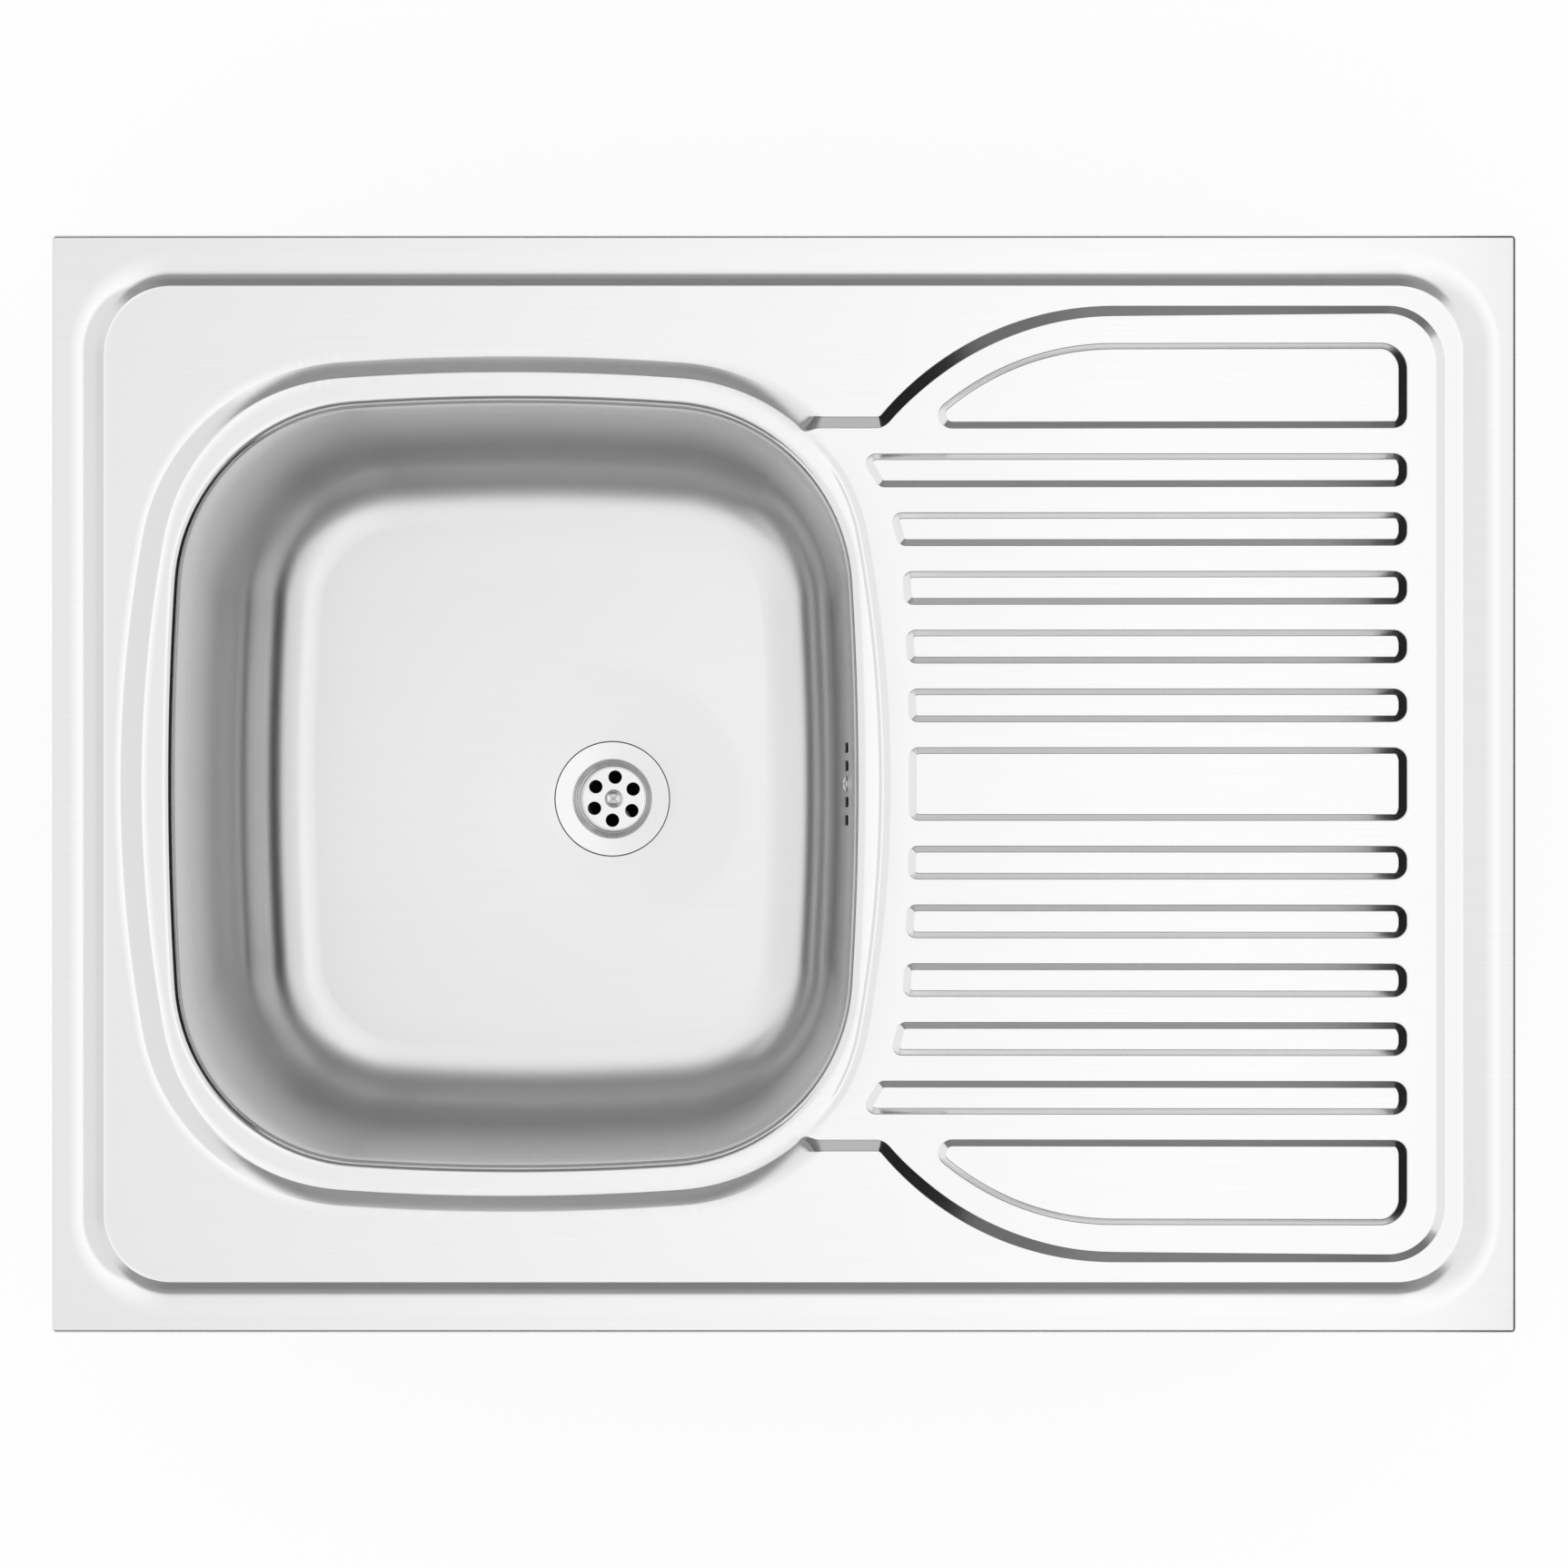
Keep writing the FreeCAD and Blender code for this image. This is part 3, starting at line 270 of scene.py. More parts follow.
RIB_BAND = LENS_INNER_Y - CENTRE_PANEL_WIDTH / 2
RIB_COUNT = int((RIB_BAND - RIB_LEAST_GAP) / (RIB_WIDTH + RIB_LEAST_GAP))
RIB_PITCH = (RIB_BAND + RIB_WIDTH) / (RIB_COUNT + 1)
RIB_FIRST_Y = CENTRE_PANEL_WIDTH / 2 + RIB_PITCH - RIB_WIDTH / 2
SEAT_R = WASTE_FLANGE_R + SEAT_CLEARANCE
SEAT = BOWL_FLOOR - FALL - SEAT_DEPTH
PLATE_Z = SEAT + STRAINER_RISE - STRAINER_DEPTH  # strainer plate's upper face


# ---------------------------------------------------------------- paths: points with their outward normals
def smooth(t):
    """0 below 0, 1 above 1, and 3t^2 - 2t^3 between."""
    t = np.clip(t, 0.0, 1.0)
    return t * t * (3 - 2 * t)


def arc_points(cx, cy, r, first, last, step=5.0, longest=9.0):
    """Centre plus r times the unit vector at each angle; the normal is that vector, reversed where r < 0.

    No chord leaves the arc by more than ARC_ERROR.
    """
    finest = min(step, math.degrees(2 * math.sqrt(2 * ARC_ERROR / abs(r))))
    turn = abs(last - first)
    count = int(max(np.ceil(turn / finest), np.ceil(np.radians(turn) * abs(r) / longest), 2))
    angle = np.radians(np.linspace(first, last, count + 1))
    out = np.stack([np.cos(angle), np.sin(angle)], 1)
    return np.array([cx, cy]) + abs(r) * out, out * np.sign(r)


def path_of(arcs, step=5.0, longest=9.0):
    """A closed path of (centre x, centre y, radius, first angle, last angle) arcs joined by straight runs.

    A negative radius is an arc that bends the other way, with its centre outside the outline.
    """
    pieces = [arc_points(*arc, step, longest) for arc in arcs]
    points, normals = [], []
    for (here, out), (onward, _) in zip(pieces, pieces[1:] + pieces[:1]):
        points.append(here)
        normals.append(out)
        gap = np.linalg.norm(onward[0] - here[-1])
        if gap > CLOSE:
            count = int(np.ceil(gap / longest))
            share = np.arange(1, count)[:, None] / count
            points.append(here[-1] + share * (onward[0] - here[-1]))
            normals.append(np.repeat(out[-1:], count - 1, 0))
    points, normals = np.concatenate(points), np.concatenate(normals)
    apart = np.linalg.norm(points - np.roll(points, 1, 0), axis=1) > CLOSE
    return points[apart], normals[apart]


def rectangle(x0, x1, y0, y1, r_left, r_right):
    """Corner arcs of a rectangle, of one radius at its left and another at its right."""
    return [(x0 + r_left, y0 + r_left, r_left, 180, 270), (x1 - r_right, y0 + r_right, r_right, 270, 360),
            (x1 - r_right, y1 - r_right, r_right, 0, 90), (x0 + r_left, y1 - r_left, r_left, 90, 180)]


def circle(x, y, r, step):
    return path_of([(x, y, r, 0, 180), (x, y, r, 180, 360)], step)


def mirrored(arcs):
    """The same arcs on the other side of the X axis, still anticlockwise."""
    return [(x, -y, r, -last, -first) for x, y, r, first, last in reversed(arcs)]


def crown(x, half_x, half_y, side_r, end_r, corner_r):
    """Four crowned sides and four corner arcs, each tangent to the next, from the right side's middle on."""
    a, b = side_r - half_x, end_r - half_y
    p, q = (side_r - corner_r) ** 2, (end_r - corner_r) ** 2
    m, c = a / b, (a * a - b * b - p + q) / (2 * b)
    half = a + m * c
    u = (-half + math.sqrt(half ** 2 - (1 + m * m) * (a * a + c * c - p))) / (1 + m * m)
    v = m * u + c
    low, high = math.degrees(math.atan2(v, u + a)), math.degrees(math.atan2(v + b, u))
    return [(x - a, 0, side_r, -low, low), (x + u, v, corner_r, low, high),
            (x, -b, end_r, high, 180 - high), (x - u, v, corner_r, 180 - high, 180 - low),
            (x + a, 0, side_r, 180 - low, 180 + low), (x - u, -v, corner_r, 180 + low, 180 + high),
            (x, b, end_r, 180 + high, 360 - high), (x + u, -v, corner_r, 360 - high, 360 - low)]


def turn_at(before, here, after):
    """The unit way into a corner, and the angle turned there, positive to the left."""
    into = (here - before) / np.linalg.norm(here - before)
    away = (after - here) / np.linalg.norm(after - here)
    return into, math.atan2(into[0] * away[1] - into[1] * away[0], into @ away)


def rounded_polygon(corners, radii):
    """Straight sides with a tangent arc of its own radius at each corner, anticlockwise."""
    corners = [np.array(c, float) for c in corners]
    arcs = []
    for before, here, after, r in zip(corners[-1:] + corners, corners, corners[1:] + corners[:1], radii):
        into, turn = turn_at(before, here, after)
        first, turn = math.degrees(math.atan2(-into[0], into[1])), math.degrees(turn)
        inward = np.array([-into[1], into[0]])
        centre = here - into * r * math.tan(math.radians(turn) / 2) + inward * r
        arcs.append((centre[0], centre[1], r, first, first + turn))
    return arcs


def basin_and_ledge_arcs():
    """The deck's edge round both sunk areas: far corners, big arcs, deck noses and the ledge's crowns."""
    ledge = crown(LEDGE_X, LEDGE_HALF_X, LEDGE_HALF_Y, LEDGE_SIDE_R, LEDGE_END_R, LEDGE_CORNER_R)
    corner_x, corner_y, _, _, high = ledge[1]
    nose_y = NECK_Y + NOSE_R
    nose_x = SWEEP_X - math.sqrt((BASIN_SWEEP_R + NOSE_R) ** 2 - (nose_y - SWEEP_Y) ** 2)
    meets_sweep = math.degrees(math.atan2(nose_y - SWEEP_Y, nose_x - SWEEP_X))
    soft_y = NECK_Y + NOSE_LEDGE_R
    soft_x = corner_x + math.sqrt((LEDGE_CORNER_R + NOSE_LEDGE_R) ** 2 - (soft_y - corner_y) ** 2)
    meets_ledge = math.degrees(math.atan2(soft_y - corner_y, soft_x - corner_x))
    upper = [(BASIN_X - BASIN_CORNER_R, BASIN_Y - BASIN_CORNER_R, BASIN_CORNER_R, 0, 90),
             (SWEEP_X, SWEEP_Y, BASIN_SWEEP_R, 90, meets_sweep),
             (nose_x, nose_y, -NOSE_R, meets_sweep + 180, 270),
             (soft_x, soft_y, -NOSE_LEDGE_R, 270, 180 + meets_ledge),
             (corner_x, corner_y, LEDGE_CORNER_R, meets_ledge, high)]
    return upper + ledge[2:7] + mirrored(upper)


def lens_arcs():
    """The outer panel: the basin's big arc and far corner drawn in, cut straight towards the ribs."""
    sweep_r, far = BASIN_SWEEP_R - LENS_SHORE, BASIN_X - RIB_END_GAP
    corner_r, small_r = LENS_CORNER_R + RIB_FLANK, RIB_CORNER_R + RIB_FLANK
    tip_r = LENS_TIP_R + RIB_FLANK
    tip_y = LENS_INNER_Y + tip_r
    tip_x = SWEEP_X - math.sqrt((sweep_r - tip_r) ** 2 - (tip_y - SWEEP_Y) ** 2)
    turn = math.degrees(math.atan2(tip_y - SWEEP_Y, tip_x - SWEEP_X))
    return [(tip_x, tip_y, tip_r, turn, 270), (far - small_r, LENS_INNER_Y + small_r, small_r, 270, 360),
            (far - corner_r, SWEEP_Y + sweep_r - corner_r, corner_r, 0, 90),
            (SWEEP_X, SWEEP_Y, sweep_r, 90, turn)]


# ---------------------------------------------------------------- profiles: a bend at every corner
def profile(points, radii, turn_step=12.0):
    """A line of (outwards, height) points with a tangent arc of its own radius at each inner point."""
    points = [np.array(p, float) for p in points]
    made = [points[0]]
    for before, here, after, r in zip(points, points[1:], points[2:], radii):
        into, turn = turn_at(before, here, after)
        side = np.array([-into[1], into[0]]) * np.sign(turn)
        centre = here - into * r * math.tan(abs(turn) / 2) + side * r
        count = max(int(np.ceil(abs(math.degrees(turn)) / turn_step)), 2)
        for angle in np.linspace(0, turn, count + 1):
            c, s = math.cos(angle), math.sin(angle)
            made.append(centre - r * np.array([c * side[0] - s * side[1], s * side[0] + c * side[1]]))
    made.append(points[-1])
    return np.array(made)


def with_rows(line, longest):
    """The same line with rows added, none further apart than longest."""
    out = [line[:1]]
    for here, onward in zip(line, line[1:]):
        count = int(np.ceil(np.linalg.norm(onward - here) / longest))
        out.append(here + (np.arange(1, count + 1)[:, None] / count) * (onward - here))
    return np.concatenate(out)


def run_along(line):
    """The distance run along a line, at each of its points."""
    return np.concatenate([[0], np.cumsum(np.linalg.norm(np.diff(line, axis=0), axis=1))])


def developed(line, outwards):
    """Each point's place across the flat sheet: distance run, negative where the profile leads inwards."""
    run = run_along(line)
    return outwards + (run if line[-1, 0] > line[0, 0] - CLOSE else -run)


# ---------------------------------------------------------------- patches: points, faces, places on the sheet
def grid_faces(rows, columns, closed):
    """Quads of a rows x columns grid, its columns joined round where it is closed."""
    index = np.arange(rows * columns).reshape(rows, columns)
    right = np.roll(index, -1, 1) if closed else index[:, 1:]
    here = index if closed else index[:, :-1]
    return np.stack([here[:-1], right[:-1], right[1:], here[1:]], -1).reshape(-1, 4)


def grid(corners, flat, closed=False):
    """A patch from a grid of points and their places on the flat sheet."""
    return corners.reshape(-1, 3), grid_faces(*corners.shape[:2], closed), flat.reshape(-1, 2)


def band(path, line, height=None, scale=None):
    """A profile carried round a path: point plus normal times the profile's outward part, at its height.

    height gives a point's height from its place in plan; scale stretches the outward part along the path.
    """
    points, normals = path
    out = line[:, 0][:, None] * (np.ones(len(points)) if scale is None else scale)[None, :]
    plan = points[None] + out[..., None] * normals[None]
    z = np.broadcast_to(line[:, 1][:, None], out.shape)
    if height is not None:
        z = height(plan[..., 0], plan[..., 1], z)
    flat = points[None] + developed(line, line[0, 0])[:, None, None] * normals[None]
    return grid(np.concatenate([plan, z[..., None]], -1), flat, True)


def row(patch, index, columns):
    """The plan of one row of a band."""
    return patch[0].reshape(-1, columns, 3)[index, :, :2]


def inside(points, loops):
    """Whether each point lies inside an odd number of the closed loops."""
    x, y = points[:, 0][:, None], points[:, 1][:, None]
    crossings = np.zeros(len(points), int)
    for loop in loops:
        ax, ay = loop[:, 0], loop[:, 1]
        bx, by = np.roll(ax, -1), np.roll(ay, -1)
        spans = (ay > y) != (by > y)
        with np.errstate(divide="ignore", invalid="ignore"):
            meets = ax + (y - ay) * (bx - ax) / (by - ay)
        crossings += (spans & (x < meets)).sum(1)
    return crossings % 2 == 1


def fill(loops, height, lines=()):
    """Triangles over the plan between closed loops, each after the first a hole or an island in it."""
    points, edges, start = [], [], 0
    for loop in loops:
        count = len(loop)
        points.append(loop)
        edges += [(start + i, start + (i + 1) % count) for i in range(count)]
        start += count
    for line in lines:
        points.append(line)
        edges += [(start + i, start + i + 1) for i in range(len(line) - 1)]
        start += len(line)
    vectors = [Vector(p) for p in np.concatenate(points).tolist()]
    made, _, faces, _, _, _ = delaunay_2d_cdt(vectors, edges, [], 0, CLOSE / 10)
    plan, faces = np.array([tuple(v) for v in made]), np.array([tuple(f) for f in faces])
    faces = faces[inside(plan[faces].mean(1), loops)]
    a, b, c = plan[faces].transpose(1, 0, 2)
    doubled = np.abs((b - a)[:, 0] * (c - a)[:, 1] - (b - a)[:, 1] * (c - a)[:, 0])
    longest = np.max([np.linalg.norm(side, axis=1) for side in (a - b, b - c, c - a)], 0)
    faces = faces[doubled > CLOSE / 4 * longest]
    used, faces = np.unique(faces, return_inverse=True)
    plan = plan[used]
    corners = np.concatenate([plan, height(plan[:, 0], plan[:, 1])[:, None]], 1)
    return corners, faces.reshape(-1, 3), plan


def level(z):
    """The height of a flat, at every place in plan."""
    return lambda x, y: np.full(np.shape(x), float(z))


def mesh_of(name, patches):
    """One mesh of all patches, its equal points merged; each corner's place on the flat sheet is its UV.

    Edges with one face beside them are sharp, so that a wall's cut edges stay crisp.
    """
    corners = np.concatenate([p[0] for p in patches]) * MM
    flat = np.concatenate([p[2] for p in patches]) * MM
    faces, start = [], 0
    for points, quads, _ in patches:
        faces += (quads + start).tolist()
        start += len(points)
    mesh = bpy.data.meshes.new(name)
    mesh.from_pydata(corners.tolist(), [], faces)
    corner_of = np.zeros(len(mesh.loops), np.int32)
    mesh.loops.foreach_get("vertex_index", corner_of)
    mesh.uv_layers.new(name="sheet").data.foreach_set("uv", flat[corner_of].ravel())
    work = bmesh.new()
    work.from_mesh(mesh)
    bmesh.ops.remove_doubles(work, verts=work.verts, dist=CLOSE * MM)
    bmesh.ops.dissolve_degenerate(work, edges=work.edges, dist=CLOSE * MM / 10)
    bmesh.ops.recalc_face_normals(work, faces=work.faces)
    work.to_mesh(mesh)
    work.free()
    edge_of = np.zeros(len(mesh.loops), np.int32)
    mesh.loops.foreach_get("edge_index", edge_of)
    mesh.edges.foreach_set("use_edge_sharp", np.bincount(edge_of, minlength=len(mesh.edges)) == 1)
    return mesh


def face_toward(mesh, way):
    """Turn an open sheet so that its faces' areas times their normals add up towards a direction."""
    area, normal = np.zeros(len(mesh.polygons)), np.zeros(len(mesh.polygons) * 3)
    mesh.polygons.foreach_get("area", area)
    mesh.polygons.foreach_get("normal", normal)
    if (area[:, None] * normal.reshape(-1, 3)).sum(0) @ np.array(way, float) < 0:
        mesh.flip_normals()


def piece(name, patches, body, materials, replaced, sheet=0.0, way=None):
    """A smooth piece of the object, riding a body, in place of CAD nodes.

    A sheet's skin faces a way and gets its thickness behind it, with the last material on its back.
    """
    mesh = mesh_of(name, patches)
    if way is not None:
        face_toward(mesh, way)
    made = bpy.data.objects.new(name, mesh)
    bpy.context.scene.collection.objects.link(made)
    mesh.polygons.foreach_set("use_smooth", np.ones(len(mesh.polygons), bool))
    for material in materials:
        mesh.materials.append(material)
    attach(made, body)
    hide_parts(*replaced)
    if sheet:
        wall = made.modifiers.new("thickness", "SOLIDIFY")
        wall.thickness, wall.offset, wall.material_offset = sheet * MM, -1, len(materials) - 1


# ---------------------------------------------------------------- the pressed sheet
def drain_floor(x, y):
    """Height of the drainboard's floor: it climbs evenly from the ledge to the far end."""
    return FLOOR_START + np.maximum(x - FLOOR_START_X, 0) * FLOOR_SLOPE


def crown_distance(x, y, arcs):
    """Signed distance outwards from a crowned outline, measured from the arc that faces the point."""
    (side_x, _, side_r, _, low), (corner_x, corner_y, corner_r, _, high) = arcs[:2]
    middle, end_y, end_r, _, _ = arcs[2]
    u, v = np.abs(x - middle), np.abs(y)
    angle = np.degrees(np.arctan2(v - corner_y, u - (corner_x - middle)))
    side = np.hypot(u - (side_x - middle), v) - side_r
    end = np.hypot(u, v - end_y) - end_r
    corner = np.hypot(u - (corner_x - middle), v - corner_y) - corner_r
    return np.where(angle < low, side, np.where(angle > high, end, corner))


LEDGE_ARCS = crown(LEDGE_X, LEDGE_HALF_X, LEDGE_HALF_Y, LEDGE_SIDE_R, LEDGE_END_R, LEDGE_CORNER_R)
BOWL_ARCS = crown(BOWL_X, BOWL_HALF_X, BOWL_HALF_Y, BOWL_SIDE_R, BOWL_END_R, BOWL_CORNER_R)


def low_floor(x, y):
    """Ledge and drainboard: level up to the crease, a smooth rise over it, then the drainboard's slope.

    The crease is a bell-shaped groove of the distance to the ledge's foot, dying out at the neck's sides.
    """
    out = crown_distance(x, y, LEDGE_ARCS) + CREASE_INSET
    groove = CREASE_DEPTH * smooth(1 - np.abs(out) / CREASE_HALF) * (x > BOWL_X)
    groove = groove * smooth((NECK_Y - NECK_STEP_RUN - CREASE_END - np.abs(y)) / CREASE_FADE)
    return LEDGE + (drain_floor(x, y) - LEDGE) * smooth(out / CREASE_RUN + 0.5) - groove


def skirt_band():
    """Return flange's bend, skirt and rim's bend, round the whole sink."""
    outline = rectangle(-HALF_LENGTH, HALF_LENGTH, -HALF_WIDTH, HALF_WIDTH, SKIRT_CORNER_R, SKIRT_CORNER_R)
    path = path_of(outline, step=18.0, longest=16.0)
    inset = -EDGE_R - STRIP
    line = profile([(inset, 0), (0, 0), (0, RIM_HEIGHT), (inset, RIM_HEIGHT)], [EDGE_R, EDGE_R])
    return band(path, with_rows(line, 9.0)), len(path[0])


def rim_band():
    """The step from the rim to the deck."""
    path = path_of(rectangle(-RIM_X, RIM_X, -RIM_Y, RIM_Y, RIM_CORNER_R, RIM_CORNER_R), step=3.0)
    line = profile([(STRIP + RIM_LEAD, RIM_HEIGHT), (-RIM_SHOULDER, RIM_HEIGHT),
                    (RIM_FOOT - RIM_STEP_RUN, DECK), (-RIM_STEP_RUN - DECK_LEAD, DECK)],
                   [RIM_BEND_R, RIM_FOOT_R], 4.5)
    return band(path, line), len(path[0])


def low_band():
    """The step from the deck to the ledge and the drainboard, narrower where it is less deep.

    Its profile's heights run from 1 at the deck to 0 on the low floor, its widths in shares of the run.
    """
    points, normals = path_of(basin_and_ledge_arcs(), step=4.0, longest=6.0)
    on_ledge = crown_distance(points[:, 0], points[:, 1], LEDGE_ARCS) < 1.0
    at_neck = (np.abs(np.abs(points[:, 1]) - NECK_Y) < NOSE_LEDGE_R) & ~on_ledge & (points[:, 0] < SWEEP_X)
    sloped = BASIN_STEP_RUN * (DECK - drain_floor(points[:, 0], points[:, 1])) / BASIN_DEPTH
    on_sweep = smooth((-normals[:, 0] - 0.1) / 0.3) * (points[:, 0] < SWEEP_X)
    run = np.where(at_neck, NECK_STEP_RUN, sloped + SWEEP_WIDER * on_sweep)
    run = np.where(on_ledge, LEDGE_STEP_RUN, run)
    bell = np.exp(-0.5 * (np.arange(-4, 5) / 2.0) ** 2)

    def eased(values):
        """A mean over four points either way round the path, weighted by a bell."""
        return np.convolve(np.concatenate([values[-4:], values, values[:4]]), bell / bell.sum(), "valid")

    def height(x, y, share):
        return low_floor(x, y) + share * (DECK - low_floor(x, y))
    corners = [(STEP_LEAD, 1), (0, 1), (-1, 0), (-1 - STEP_LEAD, 0)]
    crisp, rounded = (band((points, normals), profile(corners, [r, r], 9.0), height, eased(run))
                      for r in STEP_BENDS)
    mix = np.tile(eased(on_ledge), len(crisp[0]) // len(points))[:, None]
    return (crisp[0] + mix * (rounded[0] - crisp[0]), crisp[1], crisp[2]), len(points)


def panel_band(arcs):
    """A raised panel's flank on the drainboard's floor."""
    path = path_of(arcs, step=6.0, longest=14.0)
    wider = 1 + END_FLANK * smooth(path[1][:, 0])
    line = profile([(STRIP + RIB_LEAD, 0), (0, 0), (-RIB_FLANK, RIB_HEIGHT),
                    (-RIB_FLANK - STRIP - RIB_TOP_LEAD, RIB_HEIGHT)], [RIB_FOOT_R, RIB_TOP_R])
    return band(path, line, lambda x, y, z: low_floor(x, y) + z, wider), len(path[0])


def shore_x(y, out):
    """Where the bowl's outline, grown outwards, has this Y on its right side."""
    (side_x, _, side_r, _, _), (corner_x, corner_y, corner_r, _, _) = BOWL_ARCS[:2]
    on_corner = corner_x + math.sqrt((corner_r + out) ** 2 - max(abs(y) - corner_y, 0) ** 2)
    on_side = side_x + math.sqrt((side_r + out) ** 2 - y * y)
    return min(on_corner, on_side) if abs(y) > corner_y else on_side


def rib_arcs(y, width):
    near, far, far_r = RIB_NEAR_CORNER_R + RIB_FLANK, BASIN_X - RIB_END_GAP, RIB_CORNER_R + RIB_FLANK
    low, high = y - width / 2, y + width / 2
    corners = [(shore_x(low, RIB_START), low), (far, low), (far, high), (shore_x(high, RIB_START), high)]
    return rounded_polygon(corners, [near, far_r, far_r, near])


def panels():
    """Every raised panel: one in the middle, the ribs on both sides, and the two outer ones."""
    arcs = [rib_arcs(0, CENTRE_PANEL_WIDTH)]
    for i in range(RIB_COUNT):
        y = RIB_FIRST_Y + i * RIB_PITCH
        arcs += [rib_arcs(y, RIB_WIDTH), rib_arcs(-y, RIB_WIDTH)]
    return arcs + [lens_arcs(), mirrored(lens_arcs())]


def bowl_profile():
    bend_run = BOWL_SOFT_R * math.tan((math.pi / 2 - math.atan2(BOWL_DRAFT, BOWL_DEPTH)) / 2)
    line = profile([(BOWL_LIP_R + STRIP, LEDGE), (0, LEDGE), (-BOWL_DRAFT, BOWL_FLOOR),
                    (-BOWL_DRAFT - bend_run - STRIP, BOWL_FLOOR)], [BOWL_LIP_R, BOWL_SOFT_R], 7.0)
    return with_rows(line, 7.0)


def bowl_patches():
    """Lip, wall and floor bend, with the overflow's window filled round its slots."""
    path, line = path_of(BOWL_ARCS, step=4.0, longest=7.0), bowl_profile()
    points, normals = path
    corners, faces, flat = band(path, line)
    run = developed(line, 0.0)
    middle_z = LEDGE - OVERFLOW_DROP
    window = np.nonzero((points[:, 0] > BOWL_X) & (np.abs(points[:, 1]) < WINDOW_HALF))[0]
    first, last = window.min(), window.max()
    deep = np.nonzero(np.abs(line[:, 1] - middle_z) < SLOT_HEIGHT / 2 + WINDOW_ABOVE)[0]
    top, bottom = deep.min(), deep.max()
    row_of, column_of = np.divmod(faces[:, 0], len(points))
    gone = (row_of >= top) & (row_of < bottom) & (column_of >= first) & (column_of < last)
    faces = faces[~gone]
    side_x, _, side_r, _, _ = BOWL_ARCS[0]
    arc = side_r * np.arctan2(points[:, 1], points[:, 0] - side_x)

    def on_wall(s, t):
        """Along the side's arc by s and down the profile by t."""
        angle, out = s / side_r, np.interp(-t, -run, line[:, 0])
        x = side_x + side_r * np.cos(angle) + out * np.cos(angle)
        return np.stack([x, (side_r + out) * np.sin(angle), np.interp(-t, -run, line[:, 1])], 1)
    centre_t = np.interp(-middle_z, -line[:, 1], run)
    edge = np.concatenate([
        np.stack([arc[first:last + 1], np.full(last - first + 1, run[top])], 1),
        np.stack([np.full(bottom - top, arc[last]), run[top + 1:bottom + 1]], 1),
        np.stack([arc[first:last][::-1], np.full(last - first, run[bottom])], 1),
        np.stack([np.full(bottom - top - 1, arc[first]), run[top + 1:bottom][::-1]], 1)])
    holes = []
    straight, r = (SLOT_HEIGHT - SLOT_WIDTH) / 2, SLOT_WIDTH / 2
    for side in (1, -1):
        for y in side * SLOT_PITCH * np.arange(1, SLOTS_EACH_SIDE + 1):
            ends = [(y, centre_t + straight, r, 0, 180), (y, centre_t - straight, r, 180, 360)]
            holes.append(path_of(ends, step=12.0, longest=4.0)[0])
    holes.append(circle(0, centre_t, SCREW_HOLE_R, 15.0)[0])
    _, triangles, plan = fill([edge] + holes, level(0))
    wall = on_wall(plan[:, 0], plan[:, 1]), triangles, np.stack([BOWL_RIGHT_X + plan[:, 1], plan[:, 0]], 1)
    return (corners, faces, flat), wall, len(points)


def waste_band():
    """The fall to the waste and the pressed seat of its flange, turned about the waste's axis."""
    path, top_r = circle(*WASTE, FALL_R, 4.0), SEAT_R + SEAT_RUN
    line = profile([(FALL_R / 8, BOWL_FLOOR), (0, BOWL_FLOOR), (top_r - FALL_R, BOWL_FLOOR - FALL),
                    (SEAT_R - FALL_R, SEAT), (WASTE_HOLE_R - FALL_R, SEAT)], [2 * FALL_R, 0.3, 0.5], 8.0)
    return band(path, with_rows(line, 6.0)), len(path[0])


def sink_sheet():
    """All bands and the flats between them, as one skin: the steel's outer face."""
    skirt, skirt_n = skirt_band()
    rim, rim_n = rim_band()
    low, low_n = low_band()
    bowl, window, bowl_n = bowl_patches()
    waste, waste_n = waste_band()
    flanks = [panel_band(arcs) for arcs in panels()]
    well_x, well_y = HALF_LENGTH - FLANGE_WIDTH, HALF_WIDTH - FLANGE_WIDTH
    well = path_of(rectangle(-well_x, well_x, -well_y, well_y, 2.0, 2.0), step=30.0, longest=16.0)[0]
    crease_lines = []
    for out in np.linspace(-CREASE_HALF, CREASE_HALF, 13):
        grow = out - CREASE_INSET
        line = np.concatenate([arc_points(x, y, r + grow, first, last, 4.0, 6.0)[0]
                               for x, y, r, first, last in (LEDGE_ARCS[-1], LEDGE_ARCS[0], LEDGE_ARCS[1])])
        apart = np.linalg.norm(line - np.roll(line, 1, 0), axis=1) > CLOSE
        crease_lines.append(line[apart & (np.abs(line[:, 1]) < NECK_Y - NECK_STEP_RUN - 5)])
    feet = [row(flank, 0, n) for flank, n in flanks]
    return [skirt, rim, low, bowl, window, waste, *(flank for flank, _ in flanks),
            fill([row(skirt, 0, skirt_n), well], level(0)),
            fill([row(skirt, -1, skirt_n), row(rim, 0, rim_n)], level(RIM_HEIGHT)),
            fill([row(rim, -1, rim_n), row(low, 0, low_n)], level(DECK)),
            fill([row(low, -1, low_n), row(bowl, 0, bowl_n)] + feet, low_floor, crease_lines),
            *(fill([row(flank, -1, n)], lambda x, y: low_floor(x, y) + RIB_HEIGHT) for flank, n in flanks),
            fill([row(bowl, -1, bowl_n), row(waste, 0, waste_n)], level(BOWL_FLOOR))]


# ---------------------------------------------------------------- places of the fittings
def turned_frame(origin, along, across):
    """Origin and three unit axes, the last one along, the first near across."""
    z = np.array(along, float) / np.linalg.norm(along)
    y = np.cross(z, across)
    y /= np.linalg.norm(y)
    return np.array(origin, float), np.stack([np.cross(y, z), y, z])


